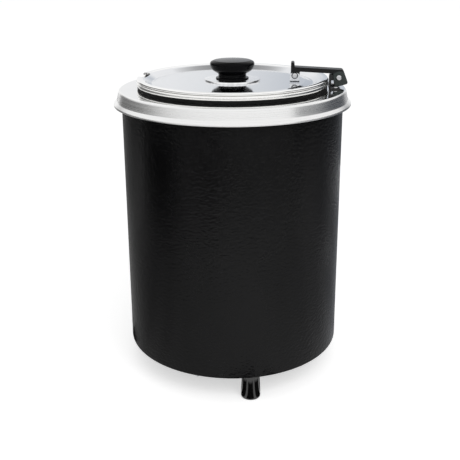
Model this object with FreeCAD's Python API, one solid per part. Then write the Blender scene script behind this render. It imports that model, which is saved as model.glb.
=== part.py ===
"""Catering soup kettle: heated base, lift-out insert with collar and pot, and a hinged lid."""
import FreeCAD, Part
import math
import os

# Frame: millimetres, +Z up, origin on the floor under the kettle's axis, lid hinge on the +X side.

# Soup pot, its seal and the water well
pot_d = 201.2
pot_h = 200.0
pot_wall = 1.0
pot_corner = 14.0
rim_w = 3.8
rim_h = 5.2
rim_round = 2.3
seal_h = 2.9
seal_w = 1.8
seal_overhang = 1.0
seal_edge = 0.5
bath_depth = 24.0
well_gap = 5.4
well_wall = 1.0
well_bend = 4.0
well_flange_setback = 1.0

# Casing, base plate and feet
service_h = 75.3
casing_gap = 13.0
casing_wall = 1.0
casing_bend = 2.0
hem_w = 9.0
hem_bend = 0.5
base_t = 1.5
base_inset = 3.5
foot_h = 28.0
foot_count = 3
foot_inset = 14.0
foot_top_d = 19.0
foot_bottom_d = 21.6
foot_edge = 1.5
first_foot_angle = -76.0
foot_screw_d = 4.0
foot_screw_grip = 12.0
base_screw_count = 6
base_screw_d = 2.8
base_screw_grip = 6.0
first_base_screw_angle = -46.0
vent_count = 12
vent_circle_d = 60.0
vent_length = 16.0
vent_w = 4.0

# Heater under the well
heater_plate_t = 4.0
heater_plate_setback = 19.0
element_circle_d = 128.0
element_tube_d = 8.0
element_gap_angle = 40.0
element_bend = 10.0
element_tail = 12.0
clamp_w = 16.0
clamp_t = 3.0
clamp_end = 8.0
stud_d = 6.0
stud_proud = 2.0
nut_flats = 10.0
nut_h = 5.0

# Heat control in the base
control_y = -64.0
thermostat_w = 34.0
thermostat_h = 26.0
thermostat_ear = 8.0
spindle_d = 6.0
spindle_in_thermostat = 14.0
spindle_in_knob = 9.0
control_knob_d = 36.0
control_knob_h = 13.0
control_knob_gap = 3.5
control_knob_edge = 1.5
control_grip_count = 16
control_grip_d = 4.0
control_grip_depth = 1.0
pointer_w = 1.5
pointer_l = 9.0
pointer_inset = 2.5
pointer_depth = 1.5
phial_d = 6.0
phial_length = 50.0
phial_y = -34.0
pocket_wall = 3.0
capillary_d = 1.8
capillary_bend = 6.0
capillary_reach = 10.0
cutout_y = 38.0
cutout_d = 16.0
cutout_h = 9.0
cutout_ear = 8.0
cutout_ear_t = 1.2
terminal_x = -58.0
terminal_y = 30.0
terminal_l = 40.0
terminal_w = 20.0
terminal_h = 18.0
terminal_screw_spacing = 24.0
gland_x = -36.0
gland_y = 77.0
gland_d = 20.0
gland_h = 14.0
gland_nose_d = 13.0
gland_nose_h = 4.7
gland_round = 1.0
gland_bore_d = 9.0
gland_thread_d = 16.0
gland_nut_flats = 20.0
gland_nut_h = 5.0
lead_d = 2.6
lead_bend = 5.0
small_screw_d = 3.0
small_screw_grip = 6.0

# Collar of the insert
collar_t = 1.2
collar_h = 16.4
collar_lip_out = 5.8
collar_lip_h = 1.5
collar_flare_h = 3.2
collar_spread = 2.2
collar_shoulder = 1.8
collar_guide_h = 9.0
collar_bend = 0.6

# Lid and its knob
lid_t = 1.0
lid_setback = 0.2
lid_bead_d = 2.9
lid_crest_w = 6.7
lid_slope_w = 9.5
lid_recess = 4.3
lid_gutter_w = 9.0
lid_gutter_depth = 1.4
lid_bend = 5.0
notch_angle = 176.0
notch_w = 28.0
notch_depth = 9.5
notch_corner = 3.0
washer_d = 61.8
washer_t = 1.0
washer_h = 2.0
washer_slope = 0.4
washer_bend = 0.6
knob_d = 48.6
knob_h = 20.9
knob_base_d = 36.0
knob_base_h = 1.6
knob_base_edge = 0.8
knob_neck_d = 30.4
knob_neck_h = 5.4
knob_neck_round = 1.2
knob_bowl_d = 45.2
knob_bowl_h = 10.0
knob_bowl_round = 7.0
knob_widest_h = 16.9
knob_band_h = 2.6
knob_band_edge = 3.0
knob_face_d = 40.0
knob_face_edge = 2.0
knob_crown = 1.0
knob_screw_d = 5.0
knob_screw_grip = 13.0

# Hinge: bracket on the collar, pin, arm and the lug on the lid
pin_out = 10.2
pin_d = 4.0
pin_head_d = 6.0
pin_head_h = 1.4
pin_head_taper = 1.0
boss_d = 9.2
bracket_t = 2.2
bracket_w = 10.8
bracket_tongue_h = 6.4
bracket_foot_w = 34.0
bracket_foot_t = 1.6
bracket_foot_reach = 9.0
bracket_sill_h = 2.6
rivet_d = 3.0
rivet_head_d = 5.4
rivet_head_h = 1.2
rivet_head_taper = 1.1
arm_t = 1.2
arm_top_far = 8.4
arm_top_near = 11.3
arm_side_h = 4.6
arm_corner = 3.0
arm_edge = 1.0
arm_toe_drop = 3.4
arm_toe_corner = 2.0
arm_overhang = 4.2
ear_top_out = 4.5
ear_end_out = 10.2
ear_end_drop = 6.4
ear_end_corner = 2.2
ear_heel_in = 3.9
ear_heel_drop = 10.6
ear_heel_corner = 1.5
ear_back_in = 6.0
ear_back_corner = 3.0
web_stop = 0.4
tab_t = 3.8
tab_rise = 4.7
tab_round = 1.3
lug_t = 1.5
lug_inset = 20.0
lug_w = 10.4
lug_h = 9.6
lug_corner = 3.5
lug_rivet_z = 6.6
lug_rivet_d = 4.0
lug_rivet_head_d = 5.6
lug_foot_spacing = 6.0
lug_foot_head_d = 5.2

# Proportions of the pan-head screws, as shares of the thread
screw_head_width = 2.0
screw_head_rise = 0.6
screw_head_round = 0.22

# Fits between pieces
running_gap = 0.05
screw_gap = 0.1
seat_gap = 0.1
lug_gap = 0.1
lid_gap = 0.3
side_gap = 0.4
hole_gap = 0.5
slide_gap = 0.8
collar_gap = 1.6

# Working margins: how far a cutting tool runs past a face, and what counts as no distance
overcut = 1.0
tiny = 1e-6

# Radii that follow from the sizes above
pot_r = pot_d / 2
rim_r = pot_r + rim_w
well_r = pot_r + well_gap
well_out_r = well_r + well_wall
casing_r = well_out_r + casing_gap + casing_wall
base_r = casing_r - base_inset
foot_circle_r = casing_r - foot_inset
base_screw_r = (casing_r - hem_w + base_r) / 2
collar_wall_r = casing_r + collar_gap + collar_t
collar_lip_r = collar_wall_r + collar_lip_out
lid_r = rim_r - lid_setback
lid_crest_r = lid_r - lid_crest_w
lid_panel_r = lid_crest_r - lid_slope_w
lid_flat_r = lid_panel_r - lid_gutter_w
bracket_x = rim_r + slide_gap
pin_x = bracket_x + pin_out
lug_x = lid_panel_r - lug_inset
arm_x = lug_x - arm_overhang
arm_w = bracket_w + 2 * side_gap + 2 * arm_t

# Levels that follow from the sizes above, from the floor up
base_top = foot_h + base_t
well_z = base_top + service_h
well_floor_z = well_z + well_wall
heater_z = well_z - heater_plate_t
element_z = heater_z - seat_gap - element_tube_d / 2
clamp_z = element_z - element_tube_d / 2 - seat_gap
clamp_low = clamp_z - clamp_t
stud_low = clamp_low - nut_h - stud_proud
phial_z = heater_z - pocket_wall - phial_d / 2
thermostat_top = base_top + thermostat_h
control_knob_top = foot_h - control_knob_gap
pot_z = well_floor_z + bath_depth
rim_top = pot_z + pot_h
rim_z = rim_top - rim_h
collar_z = rim_z - seal_h
collar_low = collar_z - collar_t
flange_z = collar_low - well_wall
lip_z = collar_z - collar_h
bead_z = rim_top + lid_gap + lid_bead_d / 2
crest_z = bead_z + lid_bead_d / 2
panel_z = crest_z - lid_recess
panel_low = panel_z - lid_t
gutter_z = panel_z - lid_gutter_depth
washer_z = panel_z + washer_h
lug_rivet_level = panel_z + lug_rivet_z


def rounded_reach(before, corner, after, radius):
    """How far a rounded corner reaches from the origin of its (x, z) points."""
    back = math.atan2(before[1] - corner[1], before[0] - corner[0])
    ahead = math.atan2(after[1] - corner[1], after[0] - corner[0])
    middle = math.atan2(math.sin(back) + math.sin(ahead), math.cos(back) + math.cos(ahead))
    inset = radius / abs(math.sin(middle - back))
    centre_x = corner[0] + inset * math.cos(middle)
    centre_z = corner[1] + inset * math.sin(middle)
    return math.hypot(centre_x, centre_z) + radius


# The ears turn about the pin just clear of the collar, so their reach sets the pin's height
ear_top = (ear_top_out, arm_top_far)
ear_end = (ear_end_out, -ear_end_drop)
ear_heel = (-ear_heel_in, -ear_heel_drop)
ear_back = (-ear_back_in, 0.0)
end_reach = rounded_reach(ear_top, ear_end, ear_heel, ear_end_corner)
heel_reach = rounded_reach(ear_end, ear_heel, ear_back, ear_heel_corner)
pin_z = collar_z + max(end_reach, heel_reach) + side_gap

UP = FreeCAD.Vector(0, 0, 1)
DOWN = FreeCAD.Vector(0, 0, -1)
ALONG_X = FreeCAD.Vector(1, 0, 0)
ALONG_Y = FreeCAD.Vector(0, 1, 0)
SIDES = (-1, 1)


def vec(x, y, z):
    return FreeCAD.Vector(x, y, z)


def polar(radius, angle, z=0.0):
    """Point at a radius and an angle in degrees from +X."""
    turn = math.radians(angle)
    return vec(radius * math.cos(turn), radius * math.sin(turn), z)


def around(count, radius, first_angle):
    """Places spaced evenly round the kettle's axis."""
    return [polar(radius, first_angle + i * 360 / count) for i in range(count)]


def outline(corners):
    """Closed face in the XZ plane through (x, z) corners, each rounded by its optional third value."""
    points = [vec(c[0], 0, c[1]) for c in corners]
    joins = []
    for i, point in enumerate(points):
        radius = corners[i][2] if len(corners[i]) > 2 else 0.0
        back = (points[i - 1] - point).normalize()
        ahead = (points[(i + 1) % len(points)] - point).normalize()
        half = back.getAngle(ahead) / 2
        if radius <= 0 or math.cos(half) < tiny:
            joins.append((point, None, point))
            continue
        reach = radius / math.tan(half)
        inward = (back + ahead).normalize()
        middle = point + inward * (radius / math.sin(half) - radius)
        joins.append((point + back * reach, middle, point + ahead * reach))
    edges = []
    for i, (start, middle, end) in enumerate(joins):
        if middle is not None:
            edges.append(Part.Arc(start, middle, end).toShape())
        following = joins[(i + 1) % len(joins)][0]
        if end.distanceToPoint(following) > tiny:
            edges.append(Part.LineSegment(end, following).toShape())
    return Part.Face(Part.Wire(edges))


def sheet(path, thickness):
    """Section of bent sheet: the path is one face, the metal lies to its right, bends are inside radii."""
    near = []
    far = []
    last = len(path) - 1
    for i, corner in enumerate(path):
        here = vec(corner[0], 0, corner[1])
        bend = corner[2] if len(corner) > 2 else 0.0
        into = (here - vec(path[i - 1][0], 0, path[i - 1][1])).normalize() if i > 0 else None
        out = (vec(path[i + 1][0], 0, path[i + 1][1]) - here).normalize() if i < last else into
        into = into or out
        side_in = vec(into.z, 0, -into.x)
        side_out = vec(out.z, 0, -out.x)
        offset = (side_in + side_out) * (thickness / (1 + side_in.dot(side_out)))
        left_turn = into.x * out.z - into.z * out.x > 0
        inner_bend = bend if 0 < i < last else 0.0
        outer_bend = bend + thickness if 0 < i < last else 0.0
        near.append((here.x, here.z, inner_bend if left_turn else outer_bend))
        far.append((here.x + offset.x, here.z + offset.z, outer_bend if left_turn else inner_bend))
    return outline(near + far[::-1])


def turned(face):
    """Solid turned about the kettle's axis."""
    return face.revolve(vec(0, 0, 0), UP, 360)


def across(face, width):
    """Solid drawn out along Y, centred on the XZ plane."""
    solid = face.extrude(vec(0, width, 0))
    solid.translate(vec(0, -width / 2, 0))
    return solid


def rod(start, diameter, length, axis=UP):
    return Part.makeCylinder(diameter / 2, length, start, axis)


def box(x, y, z, length, width, height):
    """Block centred on x and y, standing on z."""
    return Part.makeBox(length, width, height, vec(x - length / 2, y - width / 2, z))


def drill(places, z, depth, diameter):
    """Upright cutters through a plate that lies from z up to z + depth."""
    return [rod(p + UP * (z - overcut), diameter, depth + 2 * overcut) for p in places]


def cross_hole(x, z, diameter):
    """Cutter along Y, wider than the hinge."""
    return rod(vec(x, -bracket_foot_w, z), diameter, 2 * bracket_foot_w, ALONG_Y)


def hexagon(x, y, z, flats, height):
    corner = flats / math.sqrt(3)
    points = [vec(x, y, z) + p for p in around(6, corner, 0)]
    return Part.Face(Part.makePolygon(points + points[:1])).extrude(UP * height)


def screw(seat, diameter, grip, axis):
    """Pan-head screw: the head stands on its seat, and the shank runs along the axis."""
    head_h = screw_head_rise * diameter
    top = seat - axis * head_h
    head = rod(top, screw_head_width * diameter, head_h, axis)
    top_edge = [e for e in head.Edges if e.CenterOfMass.distanceToPoint(top) < tiny]
    head = head.makeFillet(screw_head_round * diameter, top_edge)
    return head.fuse(rod(seat, diameter, grip, axis)).removeSplitter()


def rivet_head(seat, diameter, axis):
    return Part.makeCone(diameter / 2, diameter / 2 - rivet_head_taper, rivet_head_h, seat, axis)


def bent_tube(points, diameter, bend):
    """Tube along straight runs joined by tangent arcs."""
    edges = []
    start = points[0]
    for i in range(1, len(points) - 1):
        back = (points[i - 1] - points[i]).normalize()
        ahead = (points[i + 1] - points[i]).normalize()
        half = back.getAngle(ahead) / 2
        reach = bend / math.tan(half)
        middle = points[i] + (back + ahead).normalize() * (bend / math.sin(half) - bend)
        edges.append(Part.LineSegment(start, points[i] + back * reach).toShape())
        start = points[i] + ahead * reach
        edges.append(Part.Arc(points[i] + back * reach, middle, start).toShape())
    edges.append(Part.LineSegment(start, points[-1]).toShape())
    section = Part.Wire(Part.makeCircle(diameter / 2, points[0], points[1] - points[0]))
    return Part.Wire(edges).makePipeShell([section], True, False)


def save(name, *solids):
    shape = solids[0] if len(solids) == 1 else Part.makeCompound(list(solids))
    shape.exportStep("parts/" + name + ".step")
    print(name, len(shape.Solids), "solid(s),", round(shape.Volume / 1000, 2), "cm3, valid", shape.isValid())


# Places of the fasteners

foot_places = around(foot_count, foot_circle_r, first_foot_angle)
base_screw_places = around(base_screw_count, base_screw_r, first_base_screw_angle)
thermostat_reach = (thermostat_w + thermostat_ear) / 2
thermostat_screw_places = [vec(side * thermostat_reach, control_y, 0) for side in SIDES]
terminal_reach = terminal_screw_spacing / 2
terminal_screw_places = [vec(terminal_x, terminal_y + side * terminal_reach, 0) for side in SIDES]
cutout_reach = (cutout_d + cutout_ear) / 2
cutout_screw_places = [vec(side * cutout_reach, cutout_y, 0) for side in SIDES]
bracket_rivet_x = bracket_x + bracket_t + bracket_foot_reach / 2
bracket_rivet_y = (bracket_foot_w + arm_w) / 4
bracket_rivet_places = [vec(bracket_rivet_x, side * bracket_rivet_y, 0) for side in SIDES]
lug_foot_places = [vec(lug_x, side * lug_foot_spacing / 2, 0) for side in SIDES]


# Heated base

def casing():
    path = [
        (well_out_r + well_bend + hole_gap, flange_z),
        (casing_r, flange_z, casing_bend),
        (casing_r, base_top, hem_bend),
        (casing_r - hem_w, base_top),
    ]
    shell = turned(sheet(path, casing_wall))
    return shell.cut(drill(base_screw_places, base_top, casing_wall, base_screw_d + 2 * screw_gap))


def vent_slots():
    x = vent_circle_d / 2
    height = base_t + 2 * overcut
    slot = box(x, 0, foot_h - overcut, vent_length, vent_w, height)
    ends = [vec(x + side * vent_length / 2, 0, 0) for side in SIDES]
    slot = slot.fuse(drill(ends, foot_h, base_t, vent_w))
    slots = []
    for i in range(vent_count):
        copy = slot.copy()
        copy.rotate(vec(0, 0, 0), UP, (i + 0.5) * 360 / vent_count)
        slots.append(copy)
    return slots


def base_plate():
    plate = rod(UP * foot_h, 2 * base_r, base_t)
    small_places = thermostat_screw_places + terminal_screw_places
    cuts = drill(foot_places, foot_h, base_t, foot_screw_d + 2 * screw_gap)
    cuts += drill(base_screw_places, foot_h, base_t, base_screw_d + 2 * screw_gap)
    cuts += drill(small_places, foot_h, base_t, small_screw_d + 2 * screw_gap)
    cuts += drill([vec(0, control_y, 0)], foot_h, base_t, spindle_d + 2 * hole_gap)
    cuts += drill([vec(gland_x, gland_y, 0)], foot_h, base_t, gland_thread_d + 2 * screw_gap)
    return plate.cut(cuts + vent_slots())


def foot(place):
    low_r = foot_bottom_d / 2
    body = turned(outline([(0, 0), (low_r, 0, foot_edge), (foot_top_d / 2, foot_h), (0, foot_h)]))
    depth = foot_screw_grip - base_t + screw_gap
    body = body.cut(rod(UP * (foot_h - depth), foot_screw_d + 2 * screw_gap, depth + overcut))
    body.translate(place)
    return body


def foot_screws():
    return [screw(p + UP * base_top, foot_screw_d, foot_screw_grip, DOWN) for p in foot_places]


def base_screws():
    return [screw(p + UP * foot_h, base_screw_d, base_screw_grip, UP) for p in base_screw_places]


def water_well():
    path = [
        (casing_r - casing_wall - casing_bend - well_flange_setback, flange_z),
        (well_out_r, flange_z, well_bend),
        (well_out_r, well_z, well_bend),
        (0, well_z),
    ]
    return turned(sheet(path, well_wall))


def heater_plate():
    """Aluminium disc with a pocket block for the phial on its underside."""
    plate = rod(UP * heater_z, 2 * (well_out_r - heater_plate_setback), heater_plate_t)
    pocket_w = phial_d + 2 * pocket_wall
    pocket = box(0, phial_y, heater_z - pocket_w, phial_length, pocket_w, pocket_w)
    bore_start = vec(-phial_length / 2 - overcut, phial_y, phial_z)
    cuts = [rod(bore_start, phial_d + 2 * running_gap, phial_length + 2 * overcut, ALONG_X)]
    cuts += drill([vec(0, 0, 0)], heater_z, heater_plate_t, stud_d + 2 * screw_gap)
    cuts += drill(cutout_screw_places, heater_z, heater_plate_t, small_screw_d + 2 * screw_gap)
    return plate.fuse(pocket).cut(cuts).removeSplitter()


def element_ends():
    """Both ends of the heater ring, with the way each one runs on."""
    ends = []
    for side in SIDES:
        angle = 90 + side * element_gap_angle / 2
        ends.append((polar(element_circle_d / 2, angle, element_z), polar(1, angle - side * 90)))
    return ends


def element_tips():
    """Lower end of each cold tail."""
    drop = UP * (element_bend + element_tail)
    return [point + onward * element_bend - drop for point, onward in element_ends()]


def heater_element():
    share = math.sqrt(0.5)
    turns = []
    for point, onward in element_ends():
        low = point + onward * element_bend - UP * element_bend
        middle = point + onward * (element_bend * share) - UP * (element_bend * (1 - share))
        tail = Part.LineSegment(low - UP * element_tail, low).toShape()
        turns.append((tail, Part.Arc(low, middle, point).toShape()))
    first, second = element_ends()
    loop = Part.Arc(first[0], vec(0, -element_circle_d / 2, element_z), second[0]).toShape()
    path = Part.Wire([turns[0][0], turns[0][1], loop, turns[1][1], turns[1][0]])
    section = Part.Wire(Part.makeCircle(element_tube_d / 2, element_tips()[0], UP))
    return path.makePipeShell([section], True, False)


def heater_clamp():
    length = element_circle_d + element_tube_d + 2 * clamp_end
    bar = box(0, 0, clamp_low, length, clamp_w, clamp_t)
    return bar.cut(drill([vec(0, 0, 0)], clamp_low, clamp_t, stud_d + 2 * screw_gap))


def clamp_stud():
    return rod(UP * stud_low, stud_d, well_z - stud_low)


def clamp_nut():
    z = clamp_low - nut_h
    return hexagon(0, 0, z, nut_flats, nut_h).cut(drill([vec(0, 0, 0)], z, nut_h, stud_d + 2 * running_gap))


def thermostat():
    body = box(0, control_y, base_top, thermostat_w, thermostat_w, thermostat_h)
    ears = box(0, control_y, base_top, thermostat_w + 2 * thermostat_ear, thermostat_ear, small_screw_grip)
    bore_depth = spindle_in_thermostat + hole_gap + overcut
    cuts = [rod(vec(0, control_y, base_top - overcut), spindle_d + 2 * running_gap, bore_depth)]
    cuts += drill(thermostat_screw_places, base_top, small_screw_grip, small_screw_d + 2 * screw_gap)
    return body.fuse(ears).cut(cuts).removeSplitter()


def thermostat_screws():
    return [screw(p + UP * foot_h, small_screw_d, small_screw_grip, UP) for p in thermostat_screw_places]


def control_spindle():
    low = control_knob_top - spindle_in_knob
    return rod(vec(0, control_y, low), spindle_d, base_top + spindle_in_thermostat - low)


def control_knob():
    top = control_knob_top
    low = top - control_knob_h
    r = control_knob_d / 2
    body = turned(outline([(0, low), (r, low, control_knob_edge), (r, top, control_knob_edge), (0, top)]))
    grip_r = r + control_grip_d / 2 - control_grip_depth
    cuts = drill(around(control_grip_count, grip_r, 0), low, control_knob_h, control_grip_d)
    cuts.append(rod(UP * (top - spindle_in_knob), spindle_d + 2 * running_gap, spindle_in_knob + overcut))
    pointer_y = pointer_inset + pointer_l / 2 - r
    cuts.append(box(0, pointer_y, low - overcut, pointer_w, pointer_l, pointer_depth + overcut))
    body = body.cut(cuts)
    body.translate(vec(0, control_y, 0))
    return body


def sensor_phial():
    """Copper phial in its pocket with the capillary that leads down to the thermostat."""
    half = phial_length / 2
    phial = rod(vec(-half, phial_y, phial_z), phial_d, phial_length, ALONG_X)
    out_x = half + capillary_reach + capillary_bend
    entry = vec(thermostat_w / 4, control_y, thermostat_top)
    level = (thermostat_top + clamp_z) / 2
    points = [
        vec(half, phial_y, phial_z),
        vec(out_x, phial_y, phial_z),
        vec(out_x, phial_y, level),
        vec(entry.x, entry.y, level),
        entry,
    ]
    return phial.fuse(bent_tube(points, capillary_d, capillary_bend)).removeSplitter()


def thermal_cutout():
    ears_z = heater_z - cutout_ear_t
    body = rod(vec(0, cutout_y, heater_z - cutout_h), cutout_d, cutout_h)
    ears = box(0, cutout_y, ears_z, cutout_d + 2 * cutout_ear, cutout_ear, cutout_ear_t)
    holes = drill(cutout_screw_places, ears_z, cutout_ear_t, small_screw_d + 2 * screw_gap)
    return body.fuse(ears).cut(holes).removeSplitter()


def cutout_screws():
    grip = cutout_ear_t + heater_plate_t - screw_gap
    seat = heater_z - cutout_ear_t
    return [screw(p + UP * seat, small_screw_d, grip, UP) for p in cutout_screw_places]


def terminal_block():
    body = box(terminal_x, terminal_y, base_top, terminal_w, terminal_l, terminal_h)
    return body.cut(drill(terminal_screw_places, base_top, small_screw_grip, small_screw_d + 2 * screw_gap))


def terminal_screws():
    return [screw(p + UP * foot_h, small_screw_d, small_screw_grip, UP) for p in terminal_screw_places]


def cable_gland():
    bore_r = gland_bore_d / 2
    neck_r = gland_thread_d / 2
    r = gland_d / 2
    low = foot_h - gland_h
    top = base_top + gland_nut_h
    section = [
        (bore_r, low),
        (gland_nose_d / 2, low, gland_round),
        (r, low + gland_nose_h, gland_round),
        (r, foot_h),
        (neck_r, foot_h),
        (neck_r, top),
        (bore_r, top),
    ]
    gland = turned(outline(section))
    gland.translate(vec(gland_x, gland_y, 0))
    return gland


def gland_nut():
    nut = hexagon(gland_x, gland_y, base_top, gland_nut_flats, gland_nut_h)
    bore_d = gland_thread_d + 2 * running_gap
    return nut.cut(drill([vec(gland_x, gland_y, 0)], base_top, gland_nut_h, bore_d))


def internal_leads():
    """Insulated leads between the terminals, the thermostat, the cut-out and the heater's tails."""
    left_tip, right_tip = sorted(element_tips(), key=lambda p: p.x)
    block_top = base_top + terminal_h
    block_near = vec(terminal_x, terminal_y - terminal_l / 4, block_top)
    block_far = vec(terminal_x, terminal_y + terminal_l / 4, block_top)
    left_post = vec(-thermostat_w / 4, control_y, thermostat_top)
    far_post = vec(0, control_y + thermostat_w / 4, thermostat_top)
    cutout_low = heater_z - cutout_h
    cutout_left = vec(-cutout_d / 4, cutout_y, cutout_low)
    cutout_right = vec(cutout_d / 4, cutout_y, cutout_low)
    low_level = (thermostat_top + stud_low) / 2 - lead_d
    high_level = low_level + 2 * lead_d

    def lead(start, level, end):
        points = [start, vec(start.x, start.y, level), vec(end.x, end.y, level), end]
        return bent_tube(points, lead_d, lead_bend)

    return [
        lead(block_near, low_level, left_post),
        lead(far_post, high_level, cutout_left),
        lead(cutout_right, high_level, right_tip),
        lead(left_tip, low_level, block_far),
    ]


# Lift-out insert

def collar():
    guide_r = pot_r + slide_gap
    path = [
        (guide_r, collar_z - collar_guide_h),
        (guide_r, collar_z, collar_bend),
        (collar_wall_r, collar_z, collar_shoulder),
        (collar_wall_r + collar_spread, lip_z + collar_lip_h + collar_flare_h, collar_lip_h),
        (collar_lip_r, lip_z + collar_lip_h, collar_bend),
        (collar_lip_r, lip_z),
    ]
    shell = turned(sheet(path, collar_t))
    return shell.cut(drill(bracket_rivet_places, collar_low, collar_t, rivet_d + 2 * running_gap))


def rim_seal():
    outer = rim_r - seal_overhang
    inner = outer - seal_w
    section = [(inner, collar_z), (outer, collar_z, seal_edge), (outer, rim_z, seal_edge), (inner, rim_z)]
    return turned(outline(section))


def soup_pot():
    inner_r = pot_r - pot_wall
    floor_z = pot_z + pot_wall
    section = [
        (0, pot_z),
        (pot_r, pot_z, pot_corner),
        (pot_r, rim_z),
        (rim_r, rim_z, rim_round),
        (rim_r, rim_top, rim_round),
        (inner_r, rim_top, rim_round),
        (inner_r, floor_z, pot_corner - pot_wall),
        (0, floor_z),
    ]
    return turned(outline(section))


def hinge_bracket():
    """Upright plate with a tongue out to the pin and two feet on the collar, clear of the arm's ears."""
    face = bracket_x + bracket_t
    tongue_low = pin_z - bracket_tongue_h / 2
    tongue_top = pin_z + bracket_tongue_h / 2
    side = outline([
        (bracket_x, collar_z),
        (face, collar_z),
        (face, tongue_low),
        (pin_x, tongue_low),
        (pin_x, tongue_top),
        (bracket_x, tongue_top, bracket_t),
    ])
    eye = rod(vec(pin_x, -bracket_w / 2, pin_z), boss_d, bracket_w, ALONG_Y)
    sill = box((bracket_x + face) / 2, 0, collar_z, bracket_t, bracket_foot_w, bracket_sill_h)
    foot_w = (bracket_foot_w - arm_w) / 2 - side_gap
    foot_y = (bracket_foot_w - foot_w) / 2
    feet = []
    for side_sign in SIDES:
        y = side_sign * foot_y
        feet.append(box(bracket_rivet_x, y, collar_z, bracket_foot_reach, foot_w, bracket_foot_t))
    bracket = across(side, bracket_w).fuse([eye, sill] + feet)
    cuts = drill(bracket_rivet_places, collar_z, bracket_foot_t, rivet_d + 2 * running_gap)
    cuts.append(cross_hole(pin_x, pin_z, pin_d + 2 * running_gap))
    return bracket.cut(cuts).removeSplitter()


def bracket_rivets():
    """Rivets with a head on the bracket's feet and a flush end under the collar."""
    grip = collar_t + bracket_foot_t
    rivets = []
    for place in bracket_rivet_places:
        low = place + UP * collar_low
        shank = rod(low, rivet_d, grip)
        rivets.append(shank.fuse(rivet_head(low + UP * grip, rivet_head_d, UP)).removeSplitter())
    return rivets


def hinge_pin():
    half = arm_w / 2 + side_gap
    head_r = pin_head_d / 2
    pin = rod(vec(pin_x, -half, pin_z), pin_d, 2 * half, ALONG_Y)
    heads = []
    for side in SIDES:
        seat = vec(pin_x, side * half, pin_z)
        heads.append(Part.makeCone(head_r, head_r - pin_head_taper, pin_head_h, seat, vec(0, side, 0)))
    return pin.fuse(heads).removeSplitter()


# Hinged lid

def ladle_notch():
    depth = 4 * lid_recess
    inner = lid_r - notch_depth
    notch = box(lid_r, 0, panel_z - depth / 2, 2 * notch_depth, notch_w, depth)
    inner_edges = []
    for edge in notch.Edges:
        middle = edge.CenterOfMass
        if abs(middle.x - inner) < tiny and abs(middle.z - panel_z) < tiny:
            inner_edges.append(edge)
    notch = notch.makeFillet(notch_corner, inner_edges)
    notch.rotate(vec(0, 0, 0), UP, notch_angle)
    return notch


def lid():
    bead_r = lid_r - lid_bead_d / 2
    path = [
        (0, panel_z),
        (lid_flat_r, panel_z, lid_bend),
        (lid_panel_r, gutter_z, lid_bend),
        (lid_crest_r, crest_z, lid_bend),
        (bead_r, crest_z),
    ]
    bead = Part.makeTorus(bead_r, lid_bead_d / 2, UP * bead_z, UP)
    shell = turned(sheet(path, lid_t)).fuse(bead).removeSplitter()
    cuts = drill([vec(0, 0, 0)], panel_low, lid_t, knob_screw_d + 2 * screw_gap)
    cuts += drill(lug_foot_places, panel_low, lid_t, rivet_d + 2 * running_gap)
    return shell.cut(cuts + [ladle_notch()])


def knob_washer():
    """Dished washer whose sloping edge is ground flat where it meets the lid."""
    r = washer_d / 2
    hole_r = knob_screw_d / 2 + screw_gap
    path = [(hole_r, washer_z), (r - washer_slope, washer_z, washer_bend), (r, panel_z)]
    return turned(sheet(path, washer_t)).cut(rod(UP * (panel_z - washer_h), 2 * washer_d, washer_h))


def lid_knob():
    z = washer_z
    r = knob_d / 2
    knob_base_r = knob_base_d / 2
    band_low = z + knob_widest_h - knob_band_h / 2
    section = [
        (0, z),
        (knob_base_r, z),
        (knob_base_r, z + knob_base_h, knob_base_edge),
        (knob_neck_d / 2, z + knob_base_h, knob_neck_round),
        (knob_neck_d / 2, z + knob_neck_h, knob_neck_round),
        (knob_bowl_d / 2, z + knob_bowl_h, knob_bowl_round),
        (r, band_low, knob_band_edge),
        (r, band_low + knob_band_h, knob_band_edge),
        (knob_face_d / 2, z + knob_h - knob_crown, knob_face_edge),
        (0, z + knob_h),
    ]
    bore_depth = knob_screw_grip - washer_h - lid_t + screw_gap
    bore = rod(UP * (z - overcut), knob_screw_d + 2 * screw_gap, bore_depth + overcut)
    return turned(outline(section)).cut(bore)


def knob_screw():
    return screw(UP * panel_low, knob_screw_d, knob_screw_grip, UP)


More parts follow.
